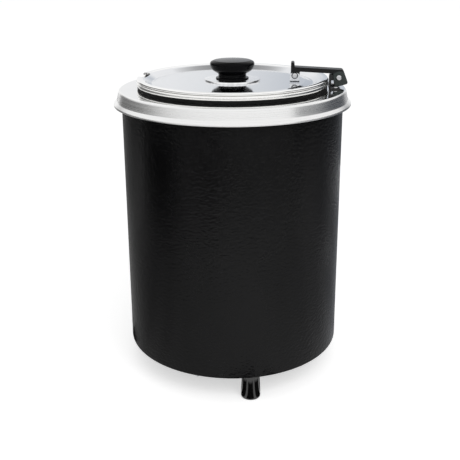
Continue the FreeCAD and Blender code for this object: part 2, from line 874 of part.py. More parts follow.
def hinge_arm():
    """Pressed channel from the lid's lug to the pin, with ears at both ends and an upright thumb tab."""
    near = pin_z + arm_top_near
    far = pin_z + arm_top_far
    far_x = pin_x + ear_top_out
    tab_x = arm_x + tab_t
    slope = (far - near) / (far_x - arm_x)

    def top(x):
        return near + slope * (x - arm_x)

    toe_x = lug_x + lug_w / 2
    toe_z = lug_rivet_level - arm_toe_drop
    tab_top = near + tab_rise
    back = pin_x - ear_back_in
    end_z = pin_z - ear_end_drop
    heel_z = pin_z - ear_heel_drop
    side = outline([
        (arm_x, toe_z, arm_edge),
        (arm_x, tab_top, tab_round),
        (tab_x, tab_top, tab_round),
        (tab_x, top(tab_x), arm_edge),
        (far_x, far, arm_corner),
        (pin_x + ear_end_out, end_z, ear_end_corner),
        (pin_x - ear_heel_in, heel_z, ear_heel_corner),
        (back, pin_z, ear_back_corner),
        (back, top(back) - arm_side_h, arm_edge),
        (toe_x, top(toe_x) - arm_side_h, arm_edge),
        (toe_x, toe_z, arm_toe_corner),
    ])
    # The channel's inside: its end wall leans with the ears and stops short of their lower edge
    fall = (far - end_z) / (ear_end_out - ear_top_out)
    wall_x = far_x - arm_t * math.hypot(1, 1 / fall)
    stop_z = end_z + web_stop
    stop_x = wall_x + (far - stop_z) / fall
    open_x = pin_x + ear_end_out + overcut
    open_z = heel_z - overcut
    inside = outline([
        (tab_x, open_z),
        (tab_x, top(tab_x) - arm_t),
        (wall_x, far - arm_t),
        (stop_x, stop_z),
        (open_x, stop_z),
        (open_x, open_z),
    ])
    body = across(side, arm_w).cut(across(inside, arm_w - 2 * arm_t))
    holes = [
        cross_hole(pin_x, pin_z, pin_d + 2 * running_gap),
        cross_hole(lug_x, lug_rivet_level, lug_rivet_d + 2 * running_gap),
    ]
    return body.cut(holes).removeSplitter()


def lid_lug():
    """U-shaped clip that stands on the lid and straddles the arm's end."""
    inner = arm_w / 2 + lug_gap
    left = lug_x - lug_w / 2
    right = lug_x + lug_w / 2
    top = panel_z + lug_h
    plate = outline([(left, panel_z), (right, panel_z), (right, top, lug_corner), (left, top, lug_corner)])
    body = across(plate, 2 * (inner + lug_t))
    cuts = drill(lug_foot_places, panel_z, lug_t, rivet_d + 2 * running_gap)
    cuts.append(box(lug_x, 0, panel_z + lug_t, 2 * lug_w, 2 * inner, lug_h))
    cuts.append(cross_hole(lug_x, lug_rivet_level, lug_rivet_d + 2 * running_gap))
    return body.cut(cuts)


def lug_foot_rivets():
    grip = lid_t + lug_t
    rivets = []
    for place in lug_foot_places:
        low = place + UP * panel_low
        heads = [rivet_head(low, lug_foot_head_d, DOWN), rivet_head(low + UP * grip, lug_foot_head_d, UP)]
        rivets.append(rod(low, rivet_d, grip).fuse(heads).removeSplitter())
    return rivets


def lug_rivet():
    half = arm_w / 2 + lug_gap + lug_t
    shank = rod(vec(lug_x, -half, lug_rivet_level), lug_rivet_d, 2 * half, ALONG_Y)
    heads = []
    for side in SIDES:
        seat = vec(lug_x, side * half, lug_rivet_level)
        heads.append(rivet_head(seat, lug_rivet_head_d, vec(0, side, 0)))
    return shank.fuse(heads).removeSplitter()


os.makedirs("parts", exist_ok=True)

save("casing", casing())
save("base_plate", base_plate())
for number, place in enumerate(foot_places, 1):
    save("foot_%d" % number, foot(place))
save("foot_screws", *foot_screws())
save("base_screws", *base_screws())
save("water_well", water_well())
save("heater_plate", heater_plate())
save("heater_element", heater_element())
save("heater_clamp", heater_clamp())
save("clamp_stud", clamp_stud())
save("clamp_nut", clamp_nut())
save("thermostat", thermostat())
save("thermostat_screws", *thermostat_screws())
save("sensor_phial", sensor_phial())
save("thermal_cutout", thermal_cutout())
save("cutout_screws", *cutout_screws())
save("terminal_block", terminal_block())
save("terminal_screws", *terminal_screws())
save("cable_gland", cable_gland())
save("gland_nut", gland_nut())
save("internal_leads", *internal_leads())
save("control_spindle", control_spindle())
save("control_knob", control_knob())
save("collar", collar())
save("rim_seal", rim_seal())
save("soup_pot", soup_pot())
save("hinge_bracket", hinge_bracket())
save("bracket_rivets", *bracket_rivets())
save("hinge_pin", hinge_pin())
save("lid", lid())
save("knob_washer", knob_washer())
save("lid_knob", lid_knob())
save("knob_screw", knob_screw())
save("hinge_arm", hinge_arm())
save("lid_lug", lid_lug())
save("lug_foot_rivets", *lug_foot_rivets())
save("lug_rivet", lug_rivet())
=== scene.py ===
# %% [markdown]
# # A catering soup kettle, dressed in Blender
# The construction of the kettle is finished: every piece has its real size and stands in one frame, in metres,
# with the floor at z = 0 and the lid's hinge towards +X. One could redraw the pieces by eye, but then the lid
# stops closing. So this lesson loads the construction, measures it, and dresses each piece exactly where it is.

# %% Load the construction
import math

import bmesh
import bpy
from mathutils import Matrix, Vector


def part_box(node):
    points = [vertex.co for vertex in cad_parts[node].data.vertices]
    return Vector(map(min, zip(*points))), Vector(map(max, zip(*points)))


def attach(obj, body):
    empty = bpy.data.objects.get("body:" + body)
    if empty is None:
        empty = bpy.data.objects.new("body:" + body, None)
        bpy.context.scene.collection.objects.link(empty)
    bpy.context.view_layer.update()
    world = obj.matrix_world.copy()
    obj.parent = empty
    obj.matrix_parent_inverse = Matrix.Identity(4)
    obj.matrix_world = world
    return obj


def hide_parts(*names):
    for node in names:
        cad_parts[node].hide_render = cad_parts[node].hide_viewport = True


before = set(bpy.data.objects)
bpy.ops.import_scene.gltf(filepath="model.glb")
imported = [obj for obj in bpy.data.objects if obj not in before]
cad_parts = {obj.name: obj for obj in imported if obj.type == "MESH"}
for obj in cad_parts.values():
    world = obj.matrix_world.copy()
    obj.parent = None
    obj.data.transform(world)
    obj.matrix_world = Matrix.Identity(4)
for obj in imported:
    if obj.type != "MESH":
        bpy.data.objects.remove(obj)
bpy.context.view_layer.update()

mm = 0.001

# %% [markdown]
# ## Camera
# The kettle is seen from a little above its lid, through a short portrait lens, with the hinge turned slightly
# towards the viewer. A camera could be aimed at a target, but then its roll and framing stay vague. Here its
# place, pitch and roll are plain values, and the lens shift moves the frame without bending the upright sides.

# %% Camera
camera_distance = 842 * mm
camera_height = 466.4 * mm
camera_turn = math.radians(4.0)
camera_pitch = math.radians(17.81)
camera_roll = math.radians(-0.25)

scene = bpy.context.scene
scene.view_settings.view_transform = "Standard"


def placed(name, data):
    """A new object in the scene."""
    piece = bpy.data.objects.new(name, data)
    scene.collection.objects.link(piece)
    return piece


lens = bpy.data.cameras.new("camera")
lens.lens = 60.3
lens.sensor_width = 36.0
lens.shift_x = -0.0061
lens.shift_y = -0.075
lens.clip_end = 50.0
camera = placed("camera", lens)
camera.matrix_world = (
    Matrix.Rotation(camera_turn, 4, "Z")
    @ Matrix.Translation((0, -camera_distance, camera_height))
    @ Matrix.Rotation(math.pi / 2 - camera_pitch, 4, "X")
    @ Matrix.Rotation(camera_roll, 4, "Z")
)
scene.camera = camera
print("camera at", [round(v, 3) for v in camera.matrix_world.translation])

# %% [markdown]
# ## Helpers for node trees
# Light, finishes and shapes are all node trees here. Their nodes could be set up line by line, but then the tree is
# lost in the lines. So one helper adds a node with all its inputs, each a link or a plain value, and another starts
# a finish on the standard shader.

# %% Helpers for node trees
def link(tree, source, target):
    tree.links.new(source, target)


def add_node(tree, kind, inputs, **settings):
    """Adds a node. Each of its inputs, by name or number, gets a link or a plain value."""
    made = tree.nodes.new(kind)
    for name, value in settings.items():
        setattr(made, name, value)
    for socket, value in inputs.items():
        if isinstance(value, bpy.types.NodeSocket):
            link(tree, value, made.inputs[socket])
        else:
            made.inputs[socket].default_value = value
    return made


def ranged(tree, source, low, high, start=0.0, end=1.0):
    """Stretches a value from start..end to low..high."""
    limits = {"From Min": start, "From Max": end, "To Min": low, "To Max": high}
    return add_node(tree, "ShaderNodeMapRange", {"Value": source, **limits}).outputs["Result"]


def new_finish(name, colour, roughness, **sockets):
    """A material, its tree and its shader, with constant values set on the shader."""
    made = bpy.data.materials.new(name)
    made.use_nodes = True
    shader = made.node_tree.nodes["Principled BSDF"]
    shader.inputs["Base Color"].default_value = (*colour, 1)
    shader.inputs["Roughness"].default_value = roughness
    for socket, value in sockets.items():
        shader.inputs[socket.replace("_", " ")].default_value = value
    return made, made.node_tree, shader


print("node helpers ready")

# %% [markdown]
# ## World and floor
# Polished steel has no colour of its own: it shows the room. A photographer hangs white paper round it. The world
# does that here: rays from the camera and from shiny surfaces see plain white, and the light that it sheds on the
# kettle stays at a normal level. The floor is pale and takes the kettle's shadow.

# %% World and floor
daylight = 0.52
floor_radius = 9.0
floor_lift = 0.54
white = (1, 1, 1, 1)


def seen_directly(tree):
    """Is 1 for rays from the camera, from glossy surfaces and through clear ones."""
    path = add_node(tree, "ShaderNodeLightPath", {}).outputs
    total = path["Is Camera Ray"]
    for name in ("Is Glossy Ray", "Is Transmission Ray"):
        total = add_node(tree, "ShaderNodeMath", {0: total, 1: path[name]}, operation="MAXIMUM").outputs[0]
    return total


def as_mesh(shell, name):
    """Writes a bmesh to a new mesh and frees it."""
    mesh = bpy.data.meshes.new(name)
    shell.to_mesh(mesh)
    shell.free()
    return mesh


def stage_piece(name, mesh, material):
    """Adds a thing of the studio, which isn't part of the kettle."""
    mesh.materials.append(material)
    piece = placed(name, mesh)
    return piece


world = bpy.data.worlds.new("white room")
world.use_nodes = True
room = world.node_tree
paper_wall = room.nodes["Background"]
paper_wall.inputs["Color"].default_value = white
link(room, ranged(room, seen_directly(room), daylight, 1.0), paper_wall.inputs["Strength"])
scene.world = world

floor_finish, paper, paper_shader = new_finish(
    "pale_floor", (0.9, 0.9, 0.9), 1.0, Specular_IOR_Level=0.0, Emission_Color=white)
link(paper, ranged(paper, seen_directly(paper), 0.0, floor_lift), paper_shader.inputs["Emission Strength"])
disc = bmesh.new()
bmesh.ops.create_circle(disc, cap_ends=True, segments=96, radius=floor_radius)
stage_piece("floor", as_mesh(disc, "floor"), floor_finish)
print("floor", 2 * floor_radius, "m across")

# %% [markdown]
# ## Softbox
# One broad softbox stands in front and above, a little to the right. A bare lamp would draw hard shadows, and a
# softbox that the steel could see would show in it as a white square. So this one is hidden from glossy rays.

# %% Softbox
softbox_azimuth = 16
softbox_distance = 1.5
softbox_height = 1.5
softbox_size = (1.5, 1.1)
softbox_power = 14.0
softbox_aim = Vector((0, 0, 0.2))


def around_camera(azimuth, distance, height):
    """A place round the kettle: azimuth 0 is under the camera, and positive is to the right."""
    turn = camera_turn + math.radians(azimuth)
    return Vector((distance * math.sin(turn), -distance * math.cos(turn), height))


lamp = bpy.data.lights.new("softbox", "AREA")
lamp.shape = "RECTANGLE"
lamp.size, lamp.size_y = softbox_size
lamp.energy = softbox_power
softbox = placed("softbox", lamp)
softbox.location = around_camera(softbox_azimuth, softbox_distance, softbox_height)
softbox.rotation_euler = (softbox_aim - softbox.location).to_track_quat("-Z", "Y").to_euler()
softbox.visible_glossy = False
print("softbox of", softbox_power, "W")

# %% [markdown]
# ## Dark cards round the kettle
# A bare white room would make the black casing and the bright collar flat, so a photographer adds dark cards just
# outside the picture: they show only as dark stripes in shiny surfaces, which gives a round thing its edges. The
# cards here are seen by glossy rays alone, so they throw no shadow. Two tall ones shade the sides of the steel,
# two low ones stand in the casing's reflection, one stands behind for the lid's panel, and one hangs over the
# lid's edge. A card with hard edges would draw hard stripes, so each is a grid whose cover fades away.

# %% Dark cards round the kettle
def soft_card(name, columns, rows, place, shade):
    """A card that only shiny surfaces see. Columns and rows are (place, cover) pairs, so its edges can fade."""
    mesh = bpy.data.meshes.new(name)
    across = len(rows)
    points = [place(a, b) for a, _ in columns for b, _ in rows]
    corners = [i * across + k for i in range(len(columns) - 1) for k in range(across - 1)]
    mesh.from_pydata(points, [], [(c, c + across, c + across + 1, c + 1) for c in corners])
    cover = mesh.attributes.new("cover", "FLOAT", "POINT")
    cover.data.foreach_set("value", [a * b for _, a in columns for _, b in rows])
    felt, tree, shader = new_finish(
        name, (0, 0, 0), 0.5, Specular_IOR_Level=0.0, Emission_Color=(*shade, 1), Emission_Strength=1.0)
    amount = add_node(tree, "ShaderNodeAttribute", {}, attribute_name="cover")
    link(tree, amount.outputs["Fac"], shader.inputs["Alpha"])
    card = stage_piece(name, mesh, felt)
    card.visible_camera = False
    card.visible_diffuse = False
    card.visible_shadow = False


def standing_card(name, distance, columns, rows, shade):
    """An upright card on an arc round the kettle. Its columns are azimuths and its rows are heights."""
    soft_card(name, columns, rows, lambda a, height: around_camera(a, distance, height), shade)


def over_lid(right, behind):
    """A place on a level card over the kettle, to the right of its axis and behind it."""
    return around_camera(90, right, 0) + around_camera(180, behind, over_lid_height)


over_lid_height = 1.5
black = (0.0, 0.0, 0.0)
tall_rows = [(0.06, 0), (0.16, 1), (0.58, 1), (0.78, 0)]
standing_card(
    "card_left", 1.2, [(-24, 0), (-45, 0.12), (-64, 0.32), (-83, 0.78), (-100, 1), (-134, 1), (-146, 0)],
    tall_rows, (0.16, 0.16, 0.16))
standing_card(
    "card_right", 1.2, [(54, 0), (63, 0.8), (83, 0.86), (102, 1), (134, 0.95), (154, 0)],
    tall_rows, (0.03, 0.036, 0.046))
standing_card(
    "card_casing", 0.42,
    [(-40, 0), (-50, 0.5), (-58, 0.95), (-72, 1), (-80, 0.75), (-92, 0.5), (-110, 0.3), (-150, 0)],
    [(0.05, 0), (0.12, 1), (0.25, 1), (0.27, 0)], black)
standing_card(
    "card_front", 0.72,
    [(-60, 0), (-48, 0.4), (-41, 0.45), (-32, 0.75), (-24, 1), (-15, 0.75), (-6, 0.2), (0, 0)],
    [(0.02, 0), (0.13, 1), (0.2, 1), (0.24, 0)], (0.12, 0.12, 0.12))
standing_card(
    "card_behind", 2.0, [(205, 0.1), (187, 0.2), (180, 0.4), (173, 0.8), (165, 1), (150, 0)],
    [(0.3, 0), (0.5, 1), (0.9, 1), (1.2, 0)], (0.5, 0.54, 0.6))
soft_card(
    "card_over_lid", [(-0.6, 0), (-0.3, 0.6), (0, 1), (0.3, 0.6), (0.6, 0)],
    [(0.25, 0), (0.4, 1), (0.75, 1), (1.2, 0)], over_lid, (0.2, 0.2, 0.2))
print("6 cards round the kettle")

# %% [markdown]
# ## Dark cards on the floor
# The upright casing mirrors the floor in front of it, which is why a kettle on white paper looks grey. Five cards
# on the floor keep it black: two near it, two behind them that reach round to the back, and a pale one far out. A
# small card with slits lies round each foot, so that the foot is black with thin upright lights.

# %% Dark cards on the floor
card_lift = 1.0 * mm
foot_card_lift = 1.5 * mm
left_shade = (0.18, 0.18, 0.18)
right_shade = (0.18, 0.19, 0.21)
near_rows = [(0.13, 1), (0.6, 1), (0.95, 0)]
far_rows = [(0.4, 0), (0.62, 1), (2.5, 1)]
foot_rows = [(0.012, 1), (0.055, 1), (0.07, 0)]


def floor_card(name, columns, rows, shade):
    """A card that lies on the floor. Its columns are azimuths and its rows are distances from the axis."""
    soft_card(name, columns, rows, lambda a, distance: around_camera(a, distance, card_lift), shade)


floor_card(
    "card_far_floor", [(a, 1) for a in range(-100, 101, 20)],
    [(0.55, 0), (1.0, 0.7), (1.6, 0.95), (4.0, 0.95)], (0.4, 0.4, 0.4))
floor_card(
    "card_floor_left",
    [(-5, 0), (-22, 0.16), (-39, 0.33), (-57, 0.63), (-78, 0.9), (-100, 0.9), (-140, 0.92), (-180, 0.92)],
    near_rows, left_shade)
floor_card(
    "card_floor_right", [(25, 0), (43, 0.2), (61, 0.43), (82, 0.68), (108, 0.9), (140, 0.92), (180, 0.92)],
    near_rows, right_shade)
floor_card("card_back_left", [(-95, 0), (-115, 0.8), (-135, 0.95), (-180, 0.97)], far_rows, left_shade)
floor_card(
    "card_back_right", [(70, 0), (95, 0.85), (118, 0.95), (150, 0.97), (180, 0.97)], far_rows, right_shade)


def middle(node):
    low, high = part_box(node)
    return (low + high) / 2


foot_nodes = ["foot_1", "foot_2", "foot_3"]
foot_places = [Vector((centre.x, centre.y, 0)) for centre in map(middle, foot_nodes)]
slit_half = 6
slit_fade = 6
slit_step = 72
slits = range(-40, 320, slit_step)
dark_from = slit_half + slit_fade
one_slit = [(-slit_half, 0), (slit_half, 0), (dark_from, 1), (slit_step - dark_from, 1)]
slit_columns = [(slit + turn, cover) for slit in slits for turn, cover in one_slit]
slit_columns.append((slits[0] + 360 - slit_half, 0))
for node, place in zip(foot_nodes, foot_places):
    soft_card(
        "card_" + node, slit_columns, foot_rows,
        lambda a, distance, place=place: place + around_camera(a, distance, foot_card_lift), black)
print("8 cards on the floor, each foot's with", len(slits), "slits")

# %% [markdown]
# ## Patterns
# Every finish is a small node tree on the piece's own coordinates, so it stays put when the piece moves. A picture
# could be wrapped round the kettle instead, but it would stretch and show its seam. Noise, stretched along the
# direction that the metal was worked in, gives the grain, the stray marks and the faint relief.

# %% Patterns
kettle_axis = (0, 0, 0)
from_upright = (1, 1, 0)


def own_coordinates(tree):
    return add_node(tree, "ShaderNodeTexCoord", {}).outputs["Object"]


def grain(tree, scale, detail=3.0, vector=None):
    """Noise with this many grains to the metre along X, Y and Z."""
    mapping = add_node(tree, "ShaderNodeMapping", {"Vector": vector or own_coordinates(tree), "Scale": scale})
    inputs = {"Vector": mapping.outputs["Vector"], "Scale": 1.0, "Detail": detail}
    return add_node(tree, "ShaderNodeTexNoise", inputs).outputs["Fac"]


def distance_from(tree, centre, across):
    """The distance from a centre, counted along the axes in across."""
    kind = "ShaderNodeVectorMath"
    away = add_node(tree, kind, {0: own_coordinates(tree), 1: centre}, operation="SUBTRACT")
    flat = add_node(tree, kind, {0: away.outputs[0], 1: across}, operation="MULTIPLY")
    return add_node(tree, kind, {0: flat.outputs[0]}, operation="LENGTH").outputs["Value"]


def height_of(tree):
    return add_node(tree, "ShaderNodeSeparateXYZ", {"Vector": own_coordinates(tree)}).outputs["Z"]


def rings(tree, count):
    """Turning marks: noise that changes with the distance from the kettle's axis and with height, not round it."""
    place = {"X": distance_from(tree, kettle_axis, from_upright), "Y": height_of(tree)}
    joined = add_node(tree, "ShaderNodeCombineXYZ", place)
    return grain(tree, (count, count, 1), 4.0, joined.outputs["Vector"])


print("patterns ready")

# %% [markdown]
# ## What a pattern does
# A pattern can change a surface's colour, gloss or height, and real wear changes them together. Values that are the
# same all over a surface are set on the shader itself. A painted tint lays painted shade in some places, and
# painted highlights and reflections in others. Each finish is kept under the name of its slot.

# %% What a pattern does
finishes = {}
narrow_span = (0.35, 0.65)
broad_span = (0.3, 0.7)


def two_tones(tree, shader, source, colour, low, high):
    """Colours the surface from low to high times a colour, where the pattern is dark or light."""
    ramp = add_node(tree, "ShaderNodeValToRGB", {"Fac": source})
    for element, position, share in zip(ramp.color_ramp.elements, narrow_span, (low, high)):
        element.position = position
        element.color = (*(share * c for c in colour), 1)
    link(tree, ramp.outputs["Color"], shader.inputs["Base Color"])


def wandering_gloss(tree, shader, source, gloss, span):
    """Takes the roughness from one value to another, over this span of the pattern."""
    link(tree, ranged(tree, source, *gloss, *span), shader.inputs["Roughness"])


def relief(tree, shader, source, depth):
    """Raises and lowers the surface by this depth, where the pattern is light or dark."""
    bump = add_node(tree, "ShaderNodeBump", {"Distance": depth, "Height": source})
    link(tree, bump.outputs["Normal"], shader.inputs["Normal"])
    return bump


def lay_painted_light(slot, colour, centre, across, full, none):
    """Lays painted shade or highlight over a finish: all of it at the full distance from a centre, none at the
    other.
    """
    tree = finishes[slot].node_tree
    base = tree.nodes["Principled BSDF"].inputs["Base Color"]
    blend = add_node(tree, "ShaderNodeMix", {}, data_type="RGBA")
    factor, plain, laid = [s for s in blend.inputs if s.enabled]
    link(tree, ranged(tree, distance_from(tree, centre, across), 1.0, 0.0, full, none), factor)
    link(tree, base.links[0].from_socket, plain)
    laid.default_value = (*colour, 1)
    link(tree, [s for s in blend.outputs if s.enabled][0], base)


print("noise is used from", narrow_span, "or", broad_span)

# %% [markdown]
# ## Black stove paints
# The casing is sheet steel with a baked paint that dries into an orange-peel skin. Its pebbles are a few
# millimetres long and only a fraction of one high, so they are relief in the finish, and a second, broader noise
# lets the gloss drift as sprayed paint does. The plate under the base and the hinge wear a smoother coat of it.
# Near the pin, the hinge's ears are painted a greenish grey: a painted reflection of the pale floor in their flat
# faces.

# %% Black stove paints
spray_drift = (22, 22, 9)


def stove_paint(name, colour, gloss, pebbles, depth, specular):
    """Paint whose gloss is a pair of roughness values, with this many pebbles to the metre along X, Y and Z."""
    made, tree, shader = new_finish(name, colour, gloss[0], Specular_IOR_Level=specular)
    drift = grain(tree, spray_drift)
    relief(tree, shader, grain(tree, pebbles, 2.0), depth)
    wandering_gloss(tree, shader, drift, gloss, narrow_span)
    two_tones(tree, shader, drift, colour, low=1.0, high=1.6)
    finishes[name] = made


stove_paint("casing_paint", (0.0028, 0.0028, 0.0030), (0.08, 0.14), (260, 260, 400), 0.55 * mm, 0.13)
stove_paint("base_paint", (0.012, 0.012, 0.012), (0.4, 0.55), (500, 500, 500), 0.02 * mm, 0.4)
stove_paint("arm_paint", (0.006, 0.006, 0.006), (0.3, 0.42), (700, 700, 700), 0.012 * mm, 0.2)
stove_paint("bracket_paint", (0.008, 0.008, 0.008), (0.28, 0.4), (700, 700, 700), 0.012 * mm, 0.4)

from_crosswise = (1, 0, 1)
pin_centre = middle("hinge_pin")
# Painted reflection: near the pin, the ears' flat faces are painted greenish grey, as if they mirrored the pale
# floor.
ear_reflection_centre = pin_centre + Vector((1 * mm, 0, -3 * mm))
lay_painted_light("arm_paint", (0.04, 0.048, 0.046), ear_reflection_centre, from_crosswise, full=9.0 * mm, none=10.5 * mm)
print(len(finishes), "paints")

# %% [markdown]
# ## Steels
# The collar's wall is brushed round and round, so its marks are long and level and its shine spreads up and down,
# while its flat top is polished. The lid is spun on a lathe and polished, which leaves faint rings. The water tank
# and small fittings have the dull skin of rolled sheet. One could use one grey metal for all, but the difference in
# grain is what tells them apart. Round the rivet in the lug, a dark ring is painted: painted shade in the crevice
# round its head.

# %% Steels
ring_share = 0.35
wipe_marks = (14, 14, 14)
strokes_along = 7
polish_edge = 0.3 * mm


def spun_steel(name, colour, gloss, marks, depth):
    """Steel with turning marks, and gloss that wanders with the marks and with wiping."""
    made, tree, shader = new_finish(name, colour, gloss[0], Metallic=1.0)
    ring = rings(tree, marks)
    wipe = ranged(tree, grain(tree, wipe_marks, 4.0), 0.0, 1 - ring_share)
    together = add_node(tree, "ShaderNodeMath", {0: ring, 1: ring_share, 2: wipe}, operation="MULTIPLY_ADD")
    wandering_gloss(tree, shader, together.outputs[0], gloss, narrow_span)
    two_tones(tree, shader, ring, colour, low=0.94, high=1.0)
    relief(tree, shader, ring, depth)
    finishes[name] = made


def brushed_steel(name, colour, gloss, marks, depth, bright_from, bright_gloss):
    """Steel with level brush marks up to a height, and polished above it."""
    made, tree, shader = new_finish(
        name, colour, gloss[0], Metallic=1.0, Anisotropic=0.8, Anisotropic_Rotation=0.25)
    direction = add_node(tree, "ShaderNodeTangent", {}, direction_type="RADIAL", axis="Z")
    link(tree, direction.outputs["Tangent"], shader.inputs["Tangent"])
    dull = ranged(tree, height_of(tree), 1.0, 0.0, bright_from - polish_edge, bright_from)
    stroke = grain(tree, (strokes_along, strokes_along, marks), 4.0)
    brushed = ranged(tree, stroke, *gloss, *broad_span)
    rough = add_node(tree, "ShaderNodeMix", {"Factor": dull, "A": bright_gloss, "B": brushed})
    link(tree, rough.outputs["Result"], shader.inputs["Roughness"])
    two_tones(tree, shader, stroke, colour, low=0.9, high=1.0)
    bump = relief(tree, shader, stroke, depth)
    link(tree, dull, bump.inputs["Strength"])
    finishes[name] = made


def rolled_metal(name, colour, gloss, specks, depth):
    """Metal with the even specks of a rolled or plated skin."""
    made, tree, shader = new_finish(name, colour, gloss[0], Metallic=1.0)
    speck = grain(tree, (specks, specks, specks), 4.0)
    wandering_gloss(tree, shader, speck, gloss, broad_span)
    two_tones(tree, shader, speck, colour, low=0.85, high=1.0)
    relief(tree, shader, speck, depth)
    finishes[name] = made


spun_steel("lid_steel", (0.80, 0.81, 0.83), (0.05, 0.11), 900, 0.0015 * mm)
spun_steel("pot_steel", (0.70, 0.70, 0.70), (0.16, 0.28), 1400, 0.003 * mm)
collar_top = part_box("collar")[1].z
brushed_steel(
    "collar_steel", (0.93, 0.93, 0.925), (0.24, 0.36), 2200, 0.004 * mm, collar_top - polish_edge, 0.06)
for name, colour, gloss, specks, depth in (
    ("well_steel", (0.55, 0.55, 0.55), (0.32, 0.45), 260, 0.004),
    ("washer_chrome", (0.94, 0.94, 0.95), (0.12, 0.18), 300, 0.001),
    ("lug_steel", (0.80, 0.81, 0.83), (0.12, 0.22), 900, 0.003),
    ("rivet_steel", (0.66, 0.66, 0.67), (0.18, 0.3), 1200, 0.004),
    ("zinc_screw", (0.60, 0.61, 0.63), (0.25, 0.4), 900, 0.004),
    ("spindle_steel", (0.55, 0.55, 0.56), (0.25, 0.35), 900, 0.002),
    ("element_steel", (0.30, 0.28, 0.26), (0.4, 0.6), 500, 0.006),
    ("heater_aluminium", (0.72, 0.72, 0.72), (0.35, 0.5), 300, 0.01),
    ("phial_copper", (0.78, 0.40, 0.24), (0.25, 0.45), 300, 0.004),
):
    rolled_metal(name, colour, gloss, specks, depth * mm)

# Painted shade: a dark ring is painted round the lug's rivet, where the crevice round its head lies in shade.
lay_painted_light("lug_steel", (0.03, 0.03, 0.03), middle("lug_rivet"), from_crosswise, full=3.2 * mm, none=3.9 * mm)
print(len(finishes), "finishes with the metals")

# %% [markdown]
# ## Mouldings and rubber
# The lid's knob is pressed from a hard black resin and polished, the feet are moulded as glossy, the control and
# the gland are duller, and the seal is rubber. Most of them are black, so the gloss, and how it wanders, carries
# the difference.

# %% Mouldings and rubber
handling = (60, 60, 60)


def moulding(name, colour, gloss, specks, depth, specular):
    """Plastic or rubber with fine specks, and gloss that wanders as if handled."""
    made, tree, shader = new_finish(name, colour, gloss[0], Specular_IOR_Level=specular)
    speck = grain(tree, (specks, specks, specks))
    wandering_gloss(tree, shader, grain(tree, handling), gloss, narrow_span)
    two_tones(tree, shader, speck, colour, low=1.0, high=1.35)
    relief(tree, shader, speck, depth)
    finishes[name] = made


for name, colour, gloss, specks, depth, specular in (
    ("knob_plastic", (0.003, 0.003, 0.0035), (0.1, 0.16), 700, 0.003, 0.06),
    ("foot_plastic", (0.004, 0.004, 0.004), (0.06, 0.1), 600, 0.003, 0.7),
    ("control_plastic", (0.012, 0.012, 0.012), (0.3, 0.42), 1200, 0.01, 0.5),
    ("control_body", (0.05, 0.028, 0.018), (0.35, 0.5), 400, 0.01, 0.5),
    ("cutout_plastic", (0.035, 0.022, 0.016), (0.35, 0.5), 400, 0.01, 0.5),
    ("terminal_plastic", (0.62, 0.60, 0.54), (0.4, 0.5), 400, 0.01, 0.5),
    ("gland_plastic", (0.012, 0.012, 0.012), (0.35, 0.5), 800, 0.01, 0.5),
    ("lead_silicone", (0.30, 0.02, 0.015), (0.45, 0.6), 500, 0.01, 0.5),
    ("seal_rubber", (0.004, 0.004, 0.004), (0.5, 0.65), 900, 0.01, 0.15),
):
    moulding(name, colour, gloss, specks, depth * mm, specular)
print(len(finishes), "finishes with the mouldings")

# %% [markdown]
# ## A tree that turns a profile
# Casing, pot, collar, lid and knob are all made the same way: a profile is spun round one axis, on a lathe, a
# spinning chuck or a rolling machine. A screw modifier would do it, but it can't round a corner. This Geometry
# Nodes tree takes a profile as a line of points, each with its own corner radius, rounds the corners, and sweeps
# it round a circle. The sweep counts a profile's x outwards from that circle and its y downwards.

# %% A tree that turns a profile
circle_radius = 100 * mm
merge_distance = 0.002 * mm


def new_tree(name, inputs):
    tree = bpy.data.node_groups.new(name, "GeometryNodeTree")
    tree.interface.new_socket("Geometry", in_out="INPUT", socket_type="NodeSocketGeometry")
    for label, kind in inputs:
        tree.interface.new_socket(label, in_out="INPUT", socket_type=kind)
    tree.interface.new_socket("Geometry", in_out="OUTPUT", socket_type="NodeSocketGeometry")
    return tree, tree.nodes.new("NodeGroupInput").outputs


def end_tree(tree, made, finish):
    """Makes real geometry of what the tree made, gives it its finish and hands it out."""
    whole = add_node(tree, "GeometryNodeRealizeInstances", {"Geometry": made})
    finished = add_node(
        tree, "GeometryNodeSetMaterial", {"Geometry": whole.outputs["Geometry"], "Material": finish})
    add_node(tree, "NodeGroupOutput", {"Geometry": finished.outputs["Geometry"]})


turning, given = new_tree("turned piece", [
    ("Segments", "NodeSocketInt"),
    ("Corner steps", "NodeSocketInt"),
    ("Finish", "NodeSocketMaterial"),
])
line = add_node(turning, "GeometryNodeMeshToCurve", {"Mesh": given["Geometry"]})
rounding = add_node(
    turning, "GeometryNodeInputNamedAttribute", {"Name": "corner_radius"}, data_type="FLOAT")
fillet = add_node(turning, "GeometryNodeFilletCurve", {
    "Curve": line.outputs["Curve"],
    "Radius": rounding.outputs["Attribute"],
    "Limit Radius": True,
    "Count": given["Corner steps"],
}, mode="POLY")
circle = add_node(
    turning, "GeometryNodeCurvePrimitiveCircle", {"Radius": circle_radius, "Resolution": given["Segments"]})
sweep = add_node(turning, "GeometryNodeCurveToMesh", {
    "Curve": circle.outputs["Curve"],
    "Profile Curve": fillet.outputs["Curve"],
})
merged = add_node(
    turning, "GeometryNodeMergeByDistance", {"Geometry": sweep.outputs["Mesh"], "Distance": merge_distance})
end_tree(turning, merged.outputs["Geometry"], given["Finish"])
print("turning tree has", len(turning.nodes), "nodes")

# %% [markdown]
# ## From tree to plain mesh
# A tree's result lives in a modifier. To hand it on as an ordinary mesh, the object is evaluated once, its result
# is copied, and the object with the modifier is thrown away. Then the faces are turned outwards and edges that
# are really sharp are marked, so that the rest shades smoothly.

# %% From tree to plain mesh
sharp_angle = math.radians(32)


